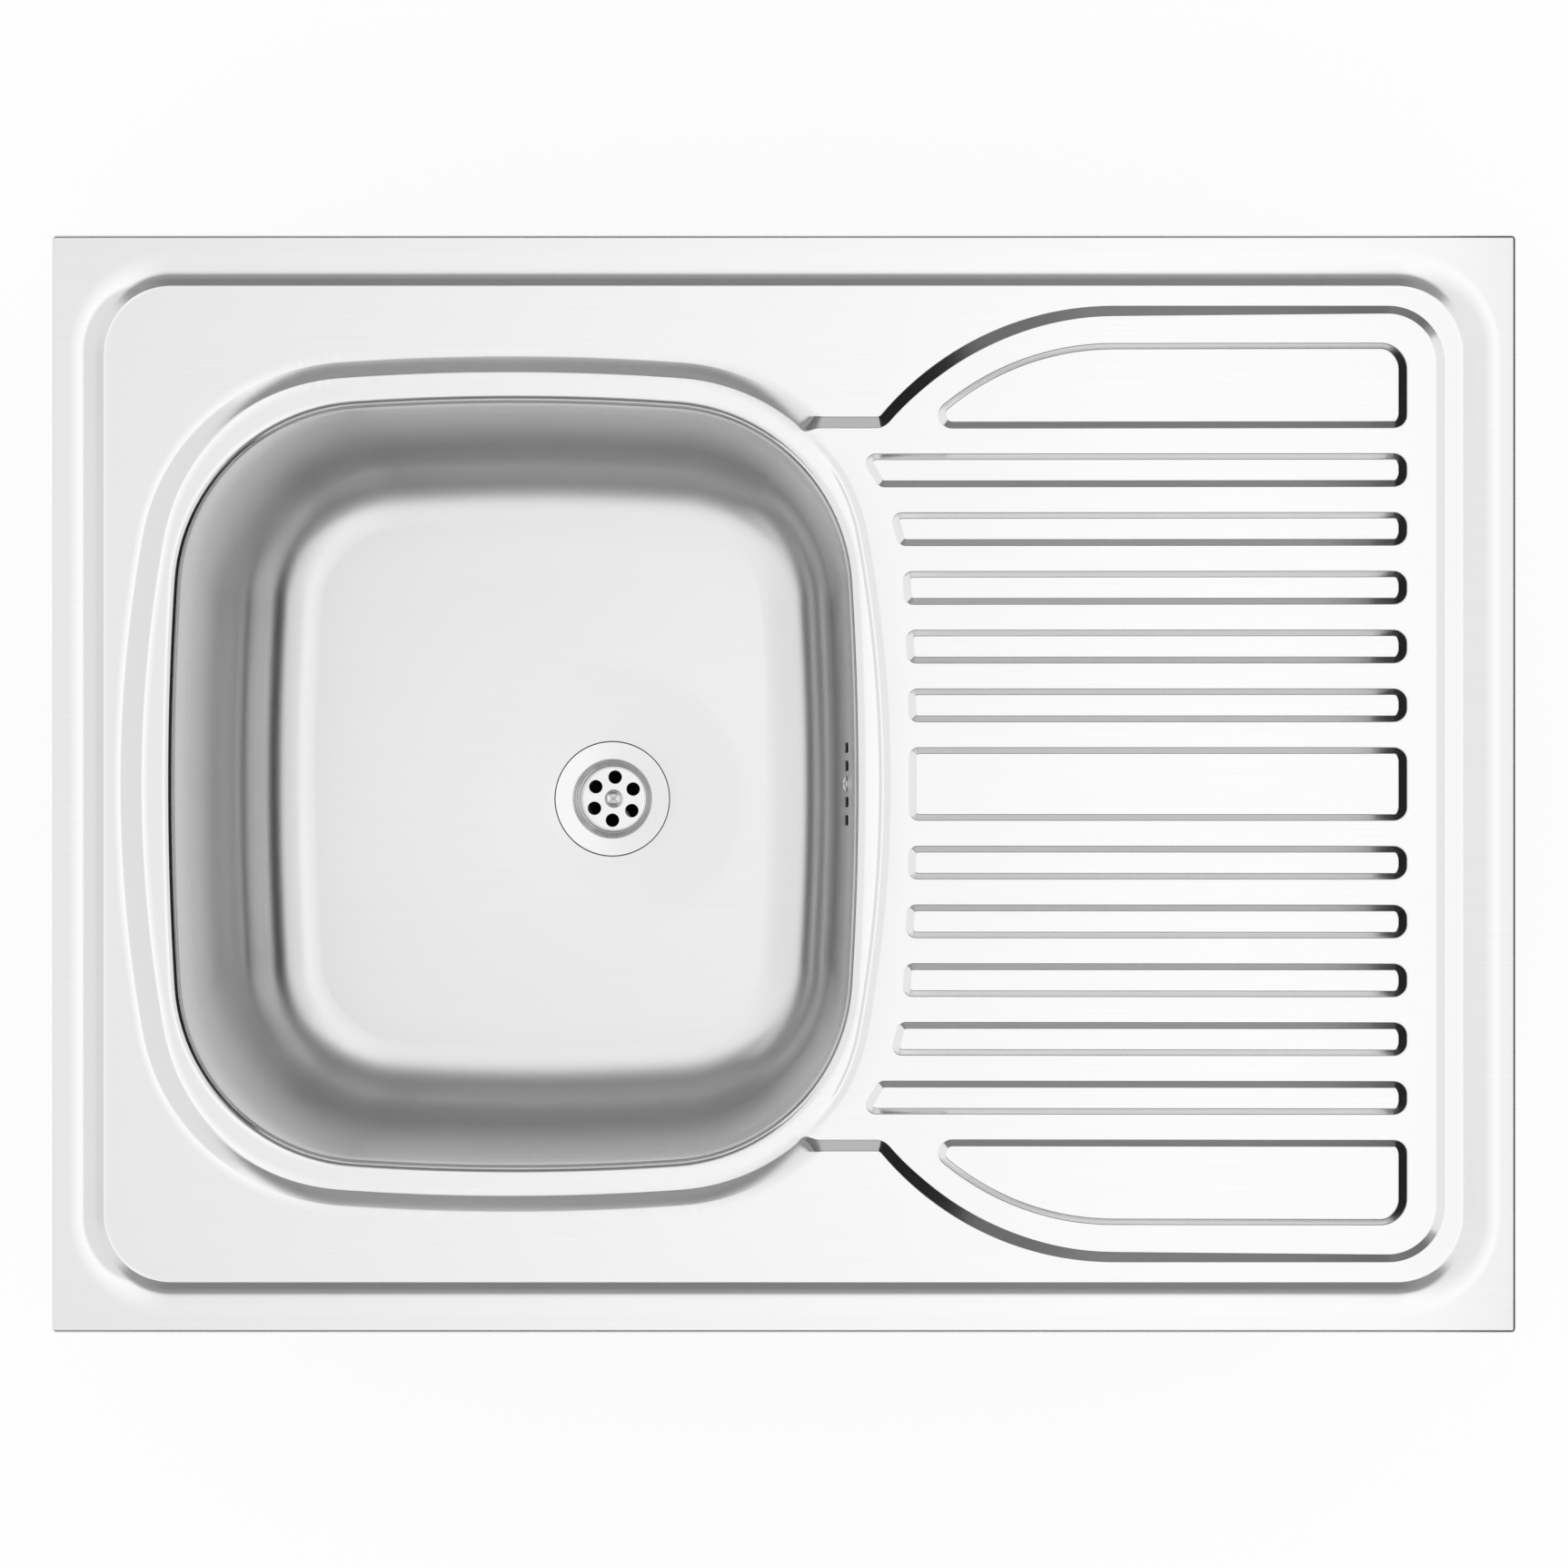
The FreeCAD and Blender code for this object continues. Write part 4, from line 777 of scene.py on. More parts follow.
def placed(patches, frame_of):
    """Patches drawn about a frame's own axes, put where the frame is."""
    origin, axes = frame_of
    return [(corners @ axes + origin, faces, flat) for corners, faces, flat in patches]


def shifted(frame_of, x=0.0, y=0.0, z=0.0):
    origin, axes = frame_of
    return origin + np.array([x, y, z]) @ axes, axes


UP = np.array([0.0, 0.0, 1.0])
LEAN = math.atan2(BOWL_DRAFT, BOWL_DEPTH)
WALL_OUT = np.array([math.cos(LEAN), 0, -math.sin(LEAN)])
WALL_UP = np.array([math.sin(LEAN), 0, math.cos(LEAN)])
WALL_MIDDLE = np.array([BOWL_RIGHT_X - BOWL_DRAFT * OVERFLOW_DROP / BOWL_DEPTH, 0, LEDGE - OVERFLOW_DROP])
WALL_MIDDLE = WALL_MIDDLE + SHEET * WALL_OUT
# both have their own X along Y; the first looks out through the wall, the second back into the bowl
BEHIND_WALL = turned_frame(WALL_MIDDLE, WALL_OUT, (0, 1, 0))
IN_BOWL = turned_frame(WALL_MIDDLE - (SHEET + FACE_GAP) * WALL_OUT, -WALL_OUT, (0, 1, 0))
BODY_TOP = SEAT - SHEET - UNDER_SEAL
AT_WASTE = turned_frame((*WASTE, 0), UP, (1, 0, 0))
SPIGOT_END = WALL_MIDDLE + SPIGOT_AXIS * WALL_OUT - (HOUSING_HALF_HEIGHT + SPIGOT_THREAD + COLLAR) * WALL_UP
INLET_Z = BODY_TOP - INLET_DROP
HOSE_CORNER = SPIGOT_END - WALL_UP * (SPIGOT_END[2] - INLET_Z) / WALL_UP[2]
INLET_WAY = (HOSE_CORNER - np.array([*WASTE, INLET_Z])) * np.array([1, 1, 0])
INLET_WAY = INLET_WAY / np.linalg.norm(INLET_WAY)
UPPER_UNION = turned_frame(SPIGOT_END, -WALL_UP, WALL_OUT)
LOWER_UNION = turned_frame(np.array([*WASTE, INLET_Z]) + INLET_REACH * INLET_WAY, INLET_WAY, UP)


# ---------------------------------------------------------------- shapes of the fittings
def turned(line, count=72, groove=None):
    """A line of (radius, height) points turned about the third axis.

    groove(angle, height, radius) takes from the radius. The UV runs round by the largest radius and along by
    the distance run.
    """
    angle = np.linspace(0, 2 * np.pi, count + 1)[None]
    r, z = np.broadcast_arrays(line[:, :1], angle)[0], np.broadcast_to(line[:, 1:], (len(line), count + 1))
    if groove is not None:
        r = r - groove(angle, z, r)
    flat = np.stack(np.broadcast_arrays(angle * line[:, 0].max(), run_along(line)[:, None]), -1)
    return grid(np.stack([r * np.cos(angle), r * np.sin(angle), z], -1), flat)


def closed_profile(points, radii, turn_step=15.0):
    """A profile that starts and ends in the middle of its first side, with a bend at every corner."""
    middle = (np.array(points[0], float) + np.array(points[-1], float)) / 2
    return profile([middle, *points, middle], radii, turn_step)


def thread(pitch, depth, low, high, outside):
    """Takes depth between a helix's crests: a rounded saw of height over pitch less the turns, fading out."""
    def groove(angle, z, r):
        phase = (z / pitch - angle / (2 * np.pi)) % 1.0
        saw = smooth(np.abs(2 * phase - 1) * 1.5 - 0.25)
        fade = smooth((z - low) / pitch) * smooth((high - z) / pitch)
        return np.where(r > outside, depth * saw * fade, 0.0)
    return groove


def plate(arcs, low, high, edge_r, step=8.0):
    """A flat solid with rounded edges: its rim carried round the outline, and a face above and below."""
    path = path_of(arcs, step=step)
    inset = -edge_r - STRIP
    side = band(path, profile([(inset, low), (0, low), (0, high), (inset, high)], [edge_r, edge_r], 22.0))
    return [side] + [fill([row(side, at, len(path[0]))], level(z)) for at, z in ((0, low), (-1, high))]


def cross_screw(shank_r, shank, head_r, head, pitch):
    """A domed head with a cross recess, and a threaded shank, pointing down from height 0.

    The dome is a sphere's cap over a short straight edge. The recess is a cross of two grooves whose sides
    slope down evenly from its outline to its middle lines, and it gets shallower outwards.
    """
    edge_z, flat_r = head * 0.3, head_r * 0.5
    cap_r = (head_r ** 2 + (head - edge_z) ** 2) / (2 * (head - edge_z))
    t = np.linspace(0, 1, 40)[:, None]
    angle = np.linspace(0, 2 * np.pi, 145)[None]
    r = head_r * t
    z = np.sqrt(cap_r ** 2 - r ** 2) - cap_r + head
    x, y = np.abs(r * np.cos(angle)), np.abs(r * np.sin(angle))
    bar = head_r * 0.15
    away = np.minimum(np.maximum(x - bar, y - flat_r), np.maximum(y - bar, x - flat_r))
    z = z - head * 0.66 * np.clip(-away / bar, 0, 1) * (1 - 0.5 * np.maximum(x, y) / flat_r)
    corners = np.stack(np.broadcast_arrays(r * np.cos(angle), r * np.sin(angle), z), -1)
    flat = np.stack(np.broadcast_arrays(angle * head_r, r + 0 * angle), -1)
    below = profile([(head_r, edge_z), (head_r, 0), (shank_r, 0), (shank_r, -shank), (0, -shank)],
                    [head_r * 0.06, shank_r * 0.1, shank_r * 0.25], 30.0)
    helix = thread(pitch, shank_r * 0.2, -shank, -shank_r * 0.4, 0.6 * shank_r)

    def on_shank(angle, z, r):
        return np.where(z < -shank_r * 0.3, helix(angle, z, r), 0)
    return [grid(corners, flat), turned(with_rows(below, pitch / 7), 36, on_shank)]


def flange_top(r):
    """Height of the flange's upper face: nearly flush at its edge, falling evenly inwards."""
    return SEAT + SEAT_DEPTH - 0.08 - DISH_FALL * (WASTE_FLANGE_R - r)


def waste_gasket():
    """The seal under the flange: flat below, its upper face pressed to the slope of the flange."""
    r_in, r_out, gap = WASTE_HOLE_R + 1.2, WASTE_FLANGE_R - 0.9, FLANGE_SHEET + 0.03
    line = closed_profile([(r_in, SEAT), (r_out, SEAT), (r_out, flange_top(r_out) - gap),
                           (r_in, flange_top(r_in) - gap)], [0.05, 0.1, 0.15, 0.05], 30.0)
    return placed([turned(line, 96)], AT_WASTE)


def waste_strainer():
    """Spun steel: flange, dished throat and cup turned from one line, and the pierced strainer plate."""
    plate_z, wall_x = PLATE_Z, THROAT_R - 0.2
    line = profile([(WASTE_FLANGE_R, SEAT + 0.3), (WASTE_FLANGE_R, flange_top(WASTE_FLANGE_R)),
                    (THROAT_R + 0.6, flange_top(THROAT_R + 0.6)), (wall_x, plate_z + 7.2),
                    (wall_x - 1.1, plate_z + 6.3), (wall_x - 1.1, plate_z + 4.6),
                    (wall_x - 2.0, plate_z + 3.9), (STRAINER_R + 1.3, plate_z + 0.5),
                    (STRAINER_R + 0.5, plate_z - 0.25),
                    (STRAINER_R - 0.4, plate_z), (STRAINER_R - 1.4, plate_z)],
                   [0.25, 0.7, 0.4, 0.4, 0.4, 0.4, 0.5, 0.4, 0.4], 9.0)
    ring = turned(with_rows(line, 1.6), 144)
    rings = row(ring, -1, 145)[:-1]
    angles = np.radians(STRAINER_FIRST_ANGLE + 360.0 * np.arange(STRAINER_HOLES) / STRAINER_HOLES)
    holes = [circle(STRAINER_HOLE_CIRCLE_R * math.cos(a), STRAINER_HOLE_CIRCLE_R * math.sin(a),
                    STRAINER_HOLE_R, 10.0)[0] for a in angles]
    centre = circle(0, 0, SCREW_R + FACE_GAP, 15.0)[0]
    return placed([ring, fill([rings, centre] + holes, level(plate_z))], AT_WASTE)


def waste_body():
    """Moulded body: one turned wall from flange to threaded outlet, a boss on three webs, and the inlet."""
    t, cone, end = BODY_WALL, -BODY_DEPTH, -BODY_DEPTH - OUTLET_CONE - OUTLET_LENGTH
    top = cone - OUTLET_CONE
    bore = OUTLET_R - OUTLET_WALL
    wall = closed_profile([(BODY_R - t, 0), (BODY_RIM_R, 0), (BODY_RIM_R, -BODY_RIM), (BODY_R, -BODY_RIM - t),
                           (BODY_R, cone), (OUTLET_R, top), (OUTLET_R, end), (bore, end), (bore, top),
                           (BODY_R - t, cone)], [0.5, 0.9, 0.9, 3.0, 3.0, 1.5, 0.8, 0.5, 2.0, 2.0])
    cup = turned(with_rows(wall, 0.33), 96, thread(THREAD_PITCH, THREAD_DEPTH, end, top, OUTLET_R - 0.6))
    low, high = -BOSS_TOP - BOSS_LENGTH, -BOSS_TOP
    boss_r = SCREW_R + 0.3
    boss = turned(closed_profile([(boss_r, low), (BOSS_R, low), (BOSS_R, high), (INSERT_R, high),
                                  (INSERT_R, high - INSERT_LENGTH), (boss_r, high - INSERT_LENGTH)],
                                 [0.3, 0.6, 0.6, 0.2, 0.2, 0.2]), 48)
    at_top = shifted(AT_WASTE, z=BODY_TOP)
    patches = placed([cup, boss], at_top)
    way = math.atan2(INLET_WAY[1], INLET_WAY[0]) + math.pi / WEB_COUNT
    for i in range(WEB_COUNT):
        a = way + 2 * math.pi * i / WEB_COUNT
        turned_web = turned_frame(at_top[0], UP, (math.cos(a), math.sin(a), 0))
        outline = rectangle(BOSS_R - 1.2, BODY_R - t / 2, -WEB / 2, WEB / 2, 0.4, 0.4)
        patches += placed(plate(outline, low, low + WEB_HEIGHT, 0.4), turned_web)
    return patches + placed([spigot(BODY_R - t / 2 - INLET_REACH)], LOWER_UNION)


def spigot(start):
    """A threaded spigot that ends at height 0 and starts inside what carries it."""
    line = closed_profile([(SPIGOT_BORE_R, start), (SPIGOT_R, start), (SPIGOT_R, 0), (SPIGOT_BORE_R, 0)],
                          [0.3, 0.3, 0.5, 0.5])
    helix = thread(SPIGOT_PITCH, SPIGOT_DEPTH, -SPIGOT_THREAD, -0.3, SPIGOT_R - 0.6)
    return turned(with_rows(line, 0.3), 64, helix)


def overflow_housing():
    """A box open to the wall, one profile round its rim, sides and back, with a pillar and a spigot down."""
    t, y, z = HOUSING_WALL, HOUSING_HALF_WIDTH, HOUSING_HALF_HEIGHT
    path = path_of(rectangle(-y, y, -z, z, SEAL_BAND, SEAL_BAND), step=10.0)
    back = HOUSING_DEPTH
    line = profile([(-t - 1.4, back - t), (-t, back - t), (-t, OVERFLOW_SEAL), (0, OVERFLOW_SEAL), (0, back),
                    (-3.4, back)], [1.0, 0.5, 0.5, 2.8], 15.0)
    box = band(path, line)
    count = len(path[0])
    pillar = closed_profile([(SCREW_R, OVERFLOW_SEAL), (PILLAR_R, OVERFLOW_SEAL), (PILLAR_R, back - t / 2),
                             (SCREW_R, back - t / 2)], [0.2, 0.4, 0.4, 0.2])
    patches = [box, fill([row(box, 0, count)], level(back - t)), fill([row(box, -1, count)], level(back)),
               turned(pillar, 40)]
    return placed(patches, BEHIND_WALL) + placed([spigot(-SPIGOT_THREAD - COLLAR - t / 2)], UPPER_UNION)


def hose_nut():
    """A cap nut: a closed wall turned about its axis, with rounded grip grooves down its outside.

    A groove takes away its depth times a narrow cosine bell of the angle to its middle.
    """
    low, lip = -SPIGOT_THREAD, HOSE_SEAL + COLLAR + FACE_GAP
    end = lip + NUT_LIP
    bore, neck = SPIGOT_R + 0.05, HOSE_R + 0.3
    line = closed_profile([(bore, low), (NUT_R, low), (NUT_R, end), (neck, end), (neck, lip), (bore, lip)],
                          [0.4, 0.6, 1.6, 0.5, 0.3, 0.5])

    def grips(angle, z, r):
        near = np.abs((angle * NUT_GRIPS / (2 * np.pi) + 0.5) % 1.0 - 0.5) * 2 * np.pi * NUT_R / NUT_GRIPS
        bell = smooth(1 - near / 2.2)
        return np.where(r > bore + 1, 1.05 * bell * smooth((z - low - 1.6) / 1.6), 0.0)
    return turned(with_rows(line, 1.0), 160, grips)


def overflow_hose():
    """A tube along a run, one bend and a run; its radius swells and shrinks evenly between plain cuffs."""
    start, end = shifted(UPPER_UNION, z=HOSE_SEAL)[0], shifted(LOWER_UNION, z=HOSE_SEAL)[0]
    first, last = HOSE_CORNER - start, end - HOSE_CORNER
    first, last = first / np.linalg.norm(first), last / np.linalg.norm(last)
    half = math.acos(first @ last) / 2
    tangent = HOSE_BEND_R * math.tan(half)
    into, away = HOSE_CORNER - first * tangent, HOSE_CORNER + last * tangent
    straight, bend = np.linalg.norm(into - start), 2 * half * HOSE_BEND_R
    length = straight + bend + np.linalg.norm(end - away)
    inward = last - first * (first @ last)
    inward /= np.linalg.norm(inward)
    hub, side = into + inward * HOSE_BEND_R, np.cross(first, inward)

    def tube(s, r, count):
        """Point s along the middle line plus r times a unit circle square to it."""
        turn = np.clip((s - straight) / HOSE_BEND_R, 0, 2 * half)[:, None]
        ahead = first * np.cos(turn) + inward * np.sin(turn)
        aside = inward * np.cos(turn) - first * np.sin(turn)
        middle = np.where(s[:, None] < straight, start + first * s[:, None],
                          hub - aside * HOSE_BEND_R + ahead * np.maximum(s - straight - bend, 0)[:, None])
        angle = np.linspace(0, 2 * np.pi, count + 1)
        ring = aside[:, None] * np.cos(angle)[None, :, None] + side * np.sin(angle)[None, :, None]
        flat = np.stack(np.broadcast_arrays(angle[None] * HOSE_R, s[:, None]), -1)
        return grid(middle[:, None] + r[:, None, None] * ring, flat)
    cuff = NUT_LIP + COLLAR + 9.0
    s = np.linspace(0, length, int(length / RIB_PITCH_HOSE * 10))
    wave = smooth(0.5 - 0.75 * np.cos(2 * np.pi * (s - cuff) / RIB_PITCH_HOSE))
    fade = smooth((s - cuff) / 2) * smooth((length - cuff - s) / 2)
    outside = HOSE_R + fade * (HOSE_CREST - HOSE_R - HOSE_WAVE * (1 - wave))
    collar = (s < COLLAR) | (s > length - COLLAR)
    outside = np.where(collar, SPIGOT_R - FACE_GAP, outside)
    s_in = np.linspace(length, 0, 60)
    line_s = np.concatenate([s, s_in, s[:1]])
    line_r = np.concatenate([outside, np.full(60, HOSE_R - HOSE_WALL - 0.6), outside[:1]])
    return [tube(line_s, line_r, 48)]


def bent_plate(section, half_width, holes, corner_r):
    """A pierced flat sheet bent to a section of (out, height): a point's place along the section is its
    distance along the sheet."""
    run = run_along(section)
    outline = path_of(rectangle(0, run[-1], -half_width, half_width, *corner_r), step=12.0, longest=4.0)[0]
    lines = [np.stack([np.full(9, at), np.linspace(-half_width + 1, half_width - 1, 9)], 1)
             for at in run[1:-1]]
    _, faces, plan = fill([outline] + holes, level(0), lines)
    out, z = np.interp(plan[:, 0], run, section[:, 0]), np.interp(plan[:, 0], run, section[:, 1])
    return np.stack([out, plan[:, 1], z], 1), faces, plan


def fixing_bracket(sx, y):
    """A steel angle hooked over the return flange, with a slot and two holes, its bent outer face."""
    x, t = HALF_LENGTH - FLANGE_WIDTH - BRACKET_GAP, BRACKET_SHEET
    top = SHEET + FACE_GAP + t
    hook_end = x + BRACKET_GAP + BRACKET_HOOK
    section = profile([(x - t, -BRACKET_DROP), (x - t, top), (hook_end, top)], [2.2], 15.0)
    place, straight = BRACKET_DROP - BRACKET_HOLE_DROP, (BRACKET_SLOT_HEIGHT - BRACKET_SLOT_WIDTH) / 2
    r = BRACKET_SLOT_WIDTH / 2
    holes = [path_of([(place + straight, 0, r, -90, 90), (place - straight, 0, r, 90, 270)], 12.0, 4.0)[0]]
    holes += [circle(place, side * BRACKET_HOLE_Y, BRACKET_HOLE_R, 15.0)[0] for side in (1, -1)]
    corners, faces, flat = bent_plate(section, BRACKET_WIDTH / 2, holes, (5.0, 2.0))
    return [(corners * (sx, 1, 1) + (0, y, 0), faces, flat)]


def stiffening_channel(x):
    """A hat section carried across the drainboard, with a shallow round dent at each weld on its flanges."""
    wide, half, low = CHANNEL_WIDTH / 2 + CHANNEL_FLANGE, CHANNEL_WIDTH / 2, -CHANNEL_DEPTH
    s = CHANNEL_SHEET
    line = profile([(-wide, -s), (-half, -s), (-half, low), (half, low), (half, -s), (wide, -s)],
                   [1.0, 2.0, 2.0, 1.0], 15.0)
    line = with_rows(line, 1.3)
    half_length = NECK_Y - CHANNEL_INSET
    y = np.linspace(-half_length, half_length, int(2 * half_length / 1.3))[None]
    u, z = line[:, :1] + 0 * y, line[:, 1:] + 0 * y
    beside = np.hypot(np.abs(u) - half - CHANNEL_FLANGE / 2,
                      (y + WELD_PITCH / 2) % WELD_PITCH - WELD_PITCH / 2)
    z = z + 0.3 * smooth(1.6 - beside / 2.6) * (np.abs(z + s) < 0.05)
    tilt = math.atan(FLOOR_SLOPE)
    ahead, z = x + u - FLOOR_START_X, z - SHEET
    corners = np.stack([FLOOR_START_X + ahead * math.cos(tilt) - z * math.sin(tilt), y + 0 * u,
                        FLOOR_START + ahead * math.sin(tilt) + z * math.cos(tilt)], -1)
    return [grid(corners, np.stack(np.broadcast_arrays(y, run_along(line)[:, None]), -1))]


def damping_pad():
    bend_run = BOWL_DRAFT + (BOWL_FLOOR_R + SHEET) * math.tan((math.pi / 2 - LEAN) / 2)
    x0 = BOWL_X - BOWL_HALF_X + bend_run + PAD_INSET
    top = BOWL_FLOOR - SHEET
    outline = rectangle(x0, x0 + PAD_LENGTH, -PAD_WIDTH / 2, PAD_WIDTH / 2, PAD_CORNER_R, PAD_CORNER_R)
    return plate(outline, top - PAD_THICKNESS, top, 0.7)


# ---------------------------------------------------------------- materials
def add_node(tree, kind, settings=(), **inputs):
    """A shader node with its settings and inputs; an input is named, or is i and its number."""
    made = tree.nodes.new("ShaderNode" + kind)
    for name, value in dict(settings).items():
        setattr(made, name, value)
    for name, value in inputs.items():
        numbered = name[0] == "i" and name[1:].isdigit()
        socket = made.inputs[int(name[1:]) if numbered else name.replace("_", " ")]
        if isinstance(value, bpy.types.NodeSocket):
            tree.links.new(value, socket)
        else:
            socket.default_value = value
    return made


def add_math(tree, operation, a, b):
    return add_node(tree, "Math", {"operation": operation}, i0=a, i1=b).outputs[0]


class Finish:
    """A material's node tree with short calls for its nodes and links."""

    def __init__(self, name, **sockets):
        self.material = bpy.data.materials.new(name)
        self.material.use_nodes = True
        self.tree = self.material.node_tree
        self.shader = self.tree.nodes["Principled BSDF"]
        for socket, value in sockets.items():
            self.shader.inputs[socket.replace("_", " ")].default_value = value

    def node(self, kind, settings=(), **inputs):
        return add_node(self.tree, kind, settings, **inputs)

    def math(self, operation, a, b):
        return add_math(self.tree, operation, a, b)

    def place(self):
        return self.node("TexCoord").outputs["Object"]

    def noise(self, place, scale, detail):
        return self.node("TexNoise", Vector=place, Scale=scale, Detail=detail).outputs["Fac"]

    def to(self, socket, value):
        self.tree.links.new(value, self.shader.inputs[socket])

    def spread(self, factor, low, high):
        """low + factor x (high - low), a number or a colour."""
        if np.ndim(low):
            made = self.node("Mix", {"data_type": "RGBA"}, Factor=factor, A=(*low, 1), B=(*high, 1))
        else:
            made = self.node("MapRange", {"clamp": False}, Value=factor, To_Min=low, To_Max=high)
        return made.outputs["Result"]

    def bump(self, height, strength, distance):
        made = self.node("Bump", Height=height, Strength=strength, Distance=distance * MM)
        self.to("Normal", made.outputs["Normal"])


DEEP_RUN = 40.0           # below the ledge, over which the drawn steel's roughness rises


def brushed_steel(name, tone, rough, grain, anisotropy, lines=(14.0, 2600.0), scratch=0.05, deep_rough=None):
    """Steel with fine lines along the sheet's UV, from noise drawn out along them, and a faint cloudiness.

    deep_rough is how rough it is in the deep-drawn bowl, below the ledge.
    """
    steel = Finish(name, Metallic=1.0, Anisotropic=anisotropy, Anisotropic_Rotation=0.25)
    place = steel.node("UVMap", {"uv_map": "sheet"}).outputs["UV"]
    drawn_out = steel.node("Mapping", Vector=place, Scale=(*lines, 1.0)).outputs["Vector"]
    hairs, clouds = steel.noise(drawn_out, 1.0, 3.0), steel.noise(place, 7.0, 2.0)
    steel.to("Base Color", steel.spread(hairs, [tone * (1 - grain)] * 3, [tone * (1 + grain)] * 3))
    uneven = steel.spread(clouds, rough - 0.02, rough + 0.02)
    if deep_rough is not None:
        height = steel.node("SeparateXYZ", i0=steel.place()).outputs["Z"]
        wall = steel.node("MapRange", {"interpolation_type": "SMOOTHSTEP"}, Value=height,
                          From_Min=LEDGE * MM, From_Max=(LEDGE - DEEP_RUN) * MM, To_Min=0.0,
                          To_Max=deep_rough - rough).outputs["Result"]
        uneven = steel.math("ADD", uneven, wall)
    steel.to("Roughness", uneven)
    steel.bump(hairs, scratch, 0.1)
    tangent = steel.node("Tangent", {"direction_type": "UV_MAP", "uv_map": "sheet"})
    steel.to("Tangent", tangent.outputs["Tangent"])
    return steel.material


def zinc_steel():
    """Zinc plating: small crystals of slightly different tone and gloss, with fine scuffs."""
    zinc = Finish("zinc_plate", Metallic=1.0)
    place = zinc.place()
    crystals = zinc.node("TexVoronoi", Vector=place, Scale=420.0).outputs["Color"]
    tone = zinc.node("SeparateColor", i0=crystals).outputs[0]
    zinc.to("Base Color", zinc.spread(tone, (0.55, 0.57, 0.59), (0.7, 0.71, 0.72)))
    zinc.to("Roughness", zinc.spread(tone, 0.3, 0.44))
    zinc.bump(zinc.noise(place, 900.0, 4.0), 0.12, 0.1)
    return zinc.material


def moulded_plastic(name, low, high, rough, mottle=160.0):
    """Moulded polypropylene: milky, a little uneven in tone, with a fine mould grain."""
    plastic = Finish(name, IOR=1.49, Subsurface_Weight=0.08, Subsurface_Scale=0.002)
    place = plastic.place()
    clouds, skin = plastic.noise(place, mottle, 2.0), plastic.noise(place, 2400.0, 2.0)
    plastic.to("Base Color", plastic.spread(clouds, low, high))
    plastic.to("Roughness", plastic.spread(clouds, rough - 0.06, rough + 0.06))
    plastic.bump(skin, 0.15, 0.08)
    return plastic.material


def black_rubber():
    """Matt black rubber with a faint paler bloom."""
    rubber = Finish("seal_rubber", IOR=1.5)
    bloom = rubber.noise(rubber.place(), 240.0, 4.0)
    rubber.to("Base Color", rubber.spread(bloom, (0.02, 0.02, 0.02), (0.045, 0.045, 0.045)))
    rubber.to("Roughness", rubber.spread(bloom, 0.5, 0.75))
    rubber.bump(bloom, 0.2, 0.1)
    return rubber.material


def turned_brass():
    """Brass with fine tool rings, from a wave across the piece."""
    brass = Finish("turned_brass", Metallic=1.0)
    rings = brass.node("TexWave", {"bands_direction": "Z"}, Vector=brass.place(), Scale=900.0,
                       Distortion=1.0).outputs["Fac"]
    brass.to("Base Color", brass.spread(rings, (0.66, 0.48, 0.2), (0.75, 0.57, 0.26)))
    brass.to("Roughness", brass.spread(rings, 0.22, 0.34))
    brass.bump(rings, 0.15, 0.05)
    return brass.material


def bitumen_sheet():
    """Pressed bitumen: near black, with a pebbled face and paler dust in its hollows."""
    bitumen = Finish("bitumen_sheet", IOR=1.5)
    place = bitumen.place()
    pebbles = bitumen.node("TexVoronoi", {"feature": "SMOOTH_F1"}, Vector=place, Scale=520.0)
    dust = bitumen.noise(place, 60.0, 5.0)
    bitumen.to("Base Color", bitumen.spread(dust, (0.045, 0.045, 0.048), (0.1, 0.1, 0.105)))
    bitumen.to("Roughness", bitumen.spread(dust, 0.6, 0.9))
    bitumen.bump(pebbles.outputs["Distance"], 0.6, 0.4)
    return bitumen.material


# ---------------------------------------------------------------- stage: camera, floor, light
CAMERA_HEIGHT = 1300.0    # above the rim
VIEW_WIDTH = 856.0        # seen at the rim's level
FLOOR_GAP = 2.0           # floor below the waste outlet
FLOOR_REACH = 6.0         # metres from the middle, like all that follows
FLOOR_GLOW = 0.85         # share of plain white in the floor as it is seen
# the second tone is a painted shade: the floor inside the outlet's circle is painted near black to stand for
# the dark bore
FLOOR_TONE, BORE_SHADE_TONE = 0.9, 0.01
SKY = 1.32                # light from over the drainboard
SKY_BOWL_END, SKY_FAR_END = 1.08, 1.0
SKY_RISE = (-0.3, 0.15)   # where it changes, as X over Z of the way looked
SKY_FALL = (0.285, 0.34)
CARD_Z, CARD_REACH = 1.35, 1.9
CEILINGS = {"frame": (0.86, 1.12, 0.28), "ceiling": (1.12, 1.45, 0.42),  # near edge, far edge, tone
            "far_ceiling": (1.45, CARD_REACH, 0.15)}
WALL = (0.7, CARD_Z, 0.2)               # low edge, high edge, tone
LOW_WALL = (0.3, 0.7, 0.72)
LOW_WALL_END = -0.8                     # its end over the bowl
LOW_CARD = (43, 1.7, 0.66, 0.72, 0.01)  # azimuth, distance, height, half its width, tone
RIGHT_CARD = (1.28, 1.12, 0.05, 0.01)   # overhead card's near edge and half width, wall's low edge, tone


def camera():
    data = bpy.data.cameras.new("camera")
    data.sensor_fit = "HORIZONTAL"
    data.angle = 2 * math.atan(VIEW_WIDTH / 2 / CAMERA_HEIGHT)
    made = bpy.data.objects.new("camera", data)
    made.location = (0, 0, (RIM_HEIGHT + CAMERA_HEIGHT) * MM)
    bpy.context.scene.collection.objects.link(made)
    bpy.context.scene.camera = made


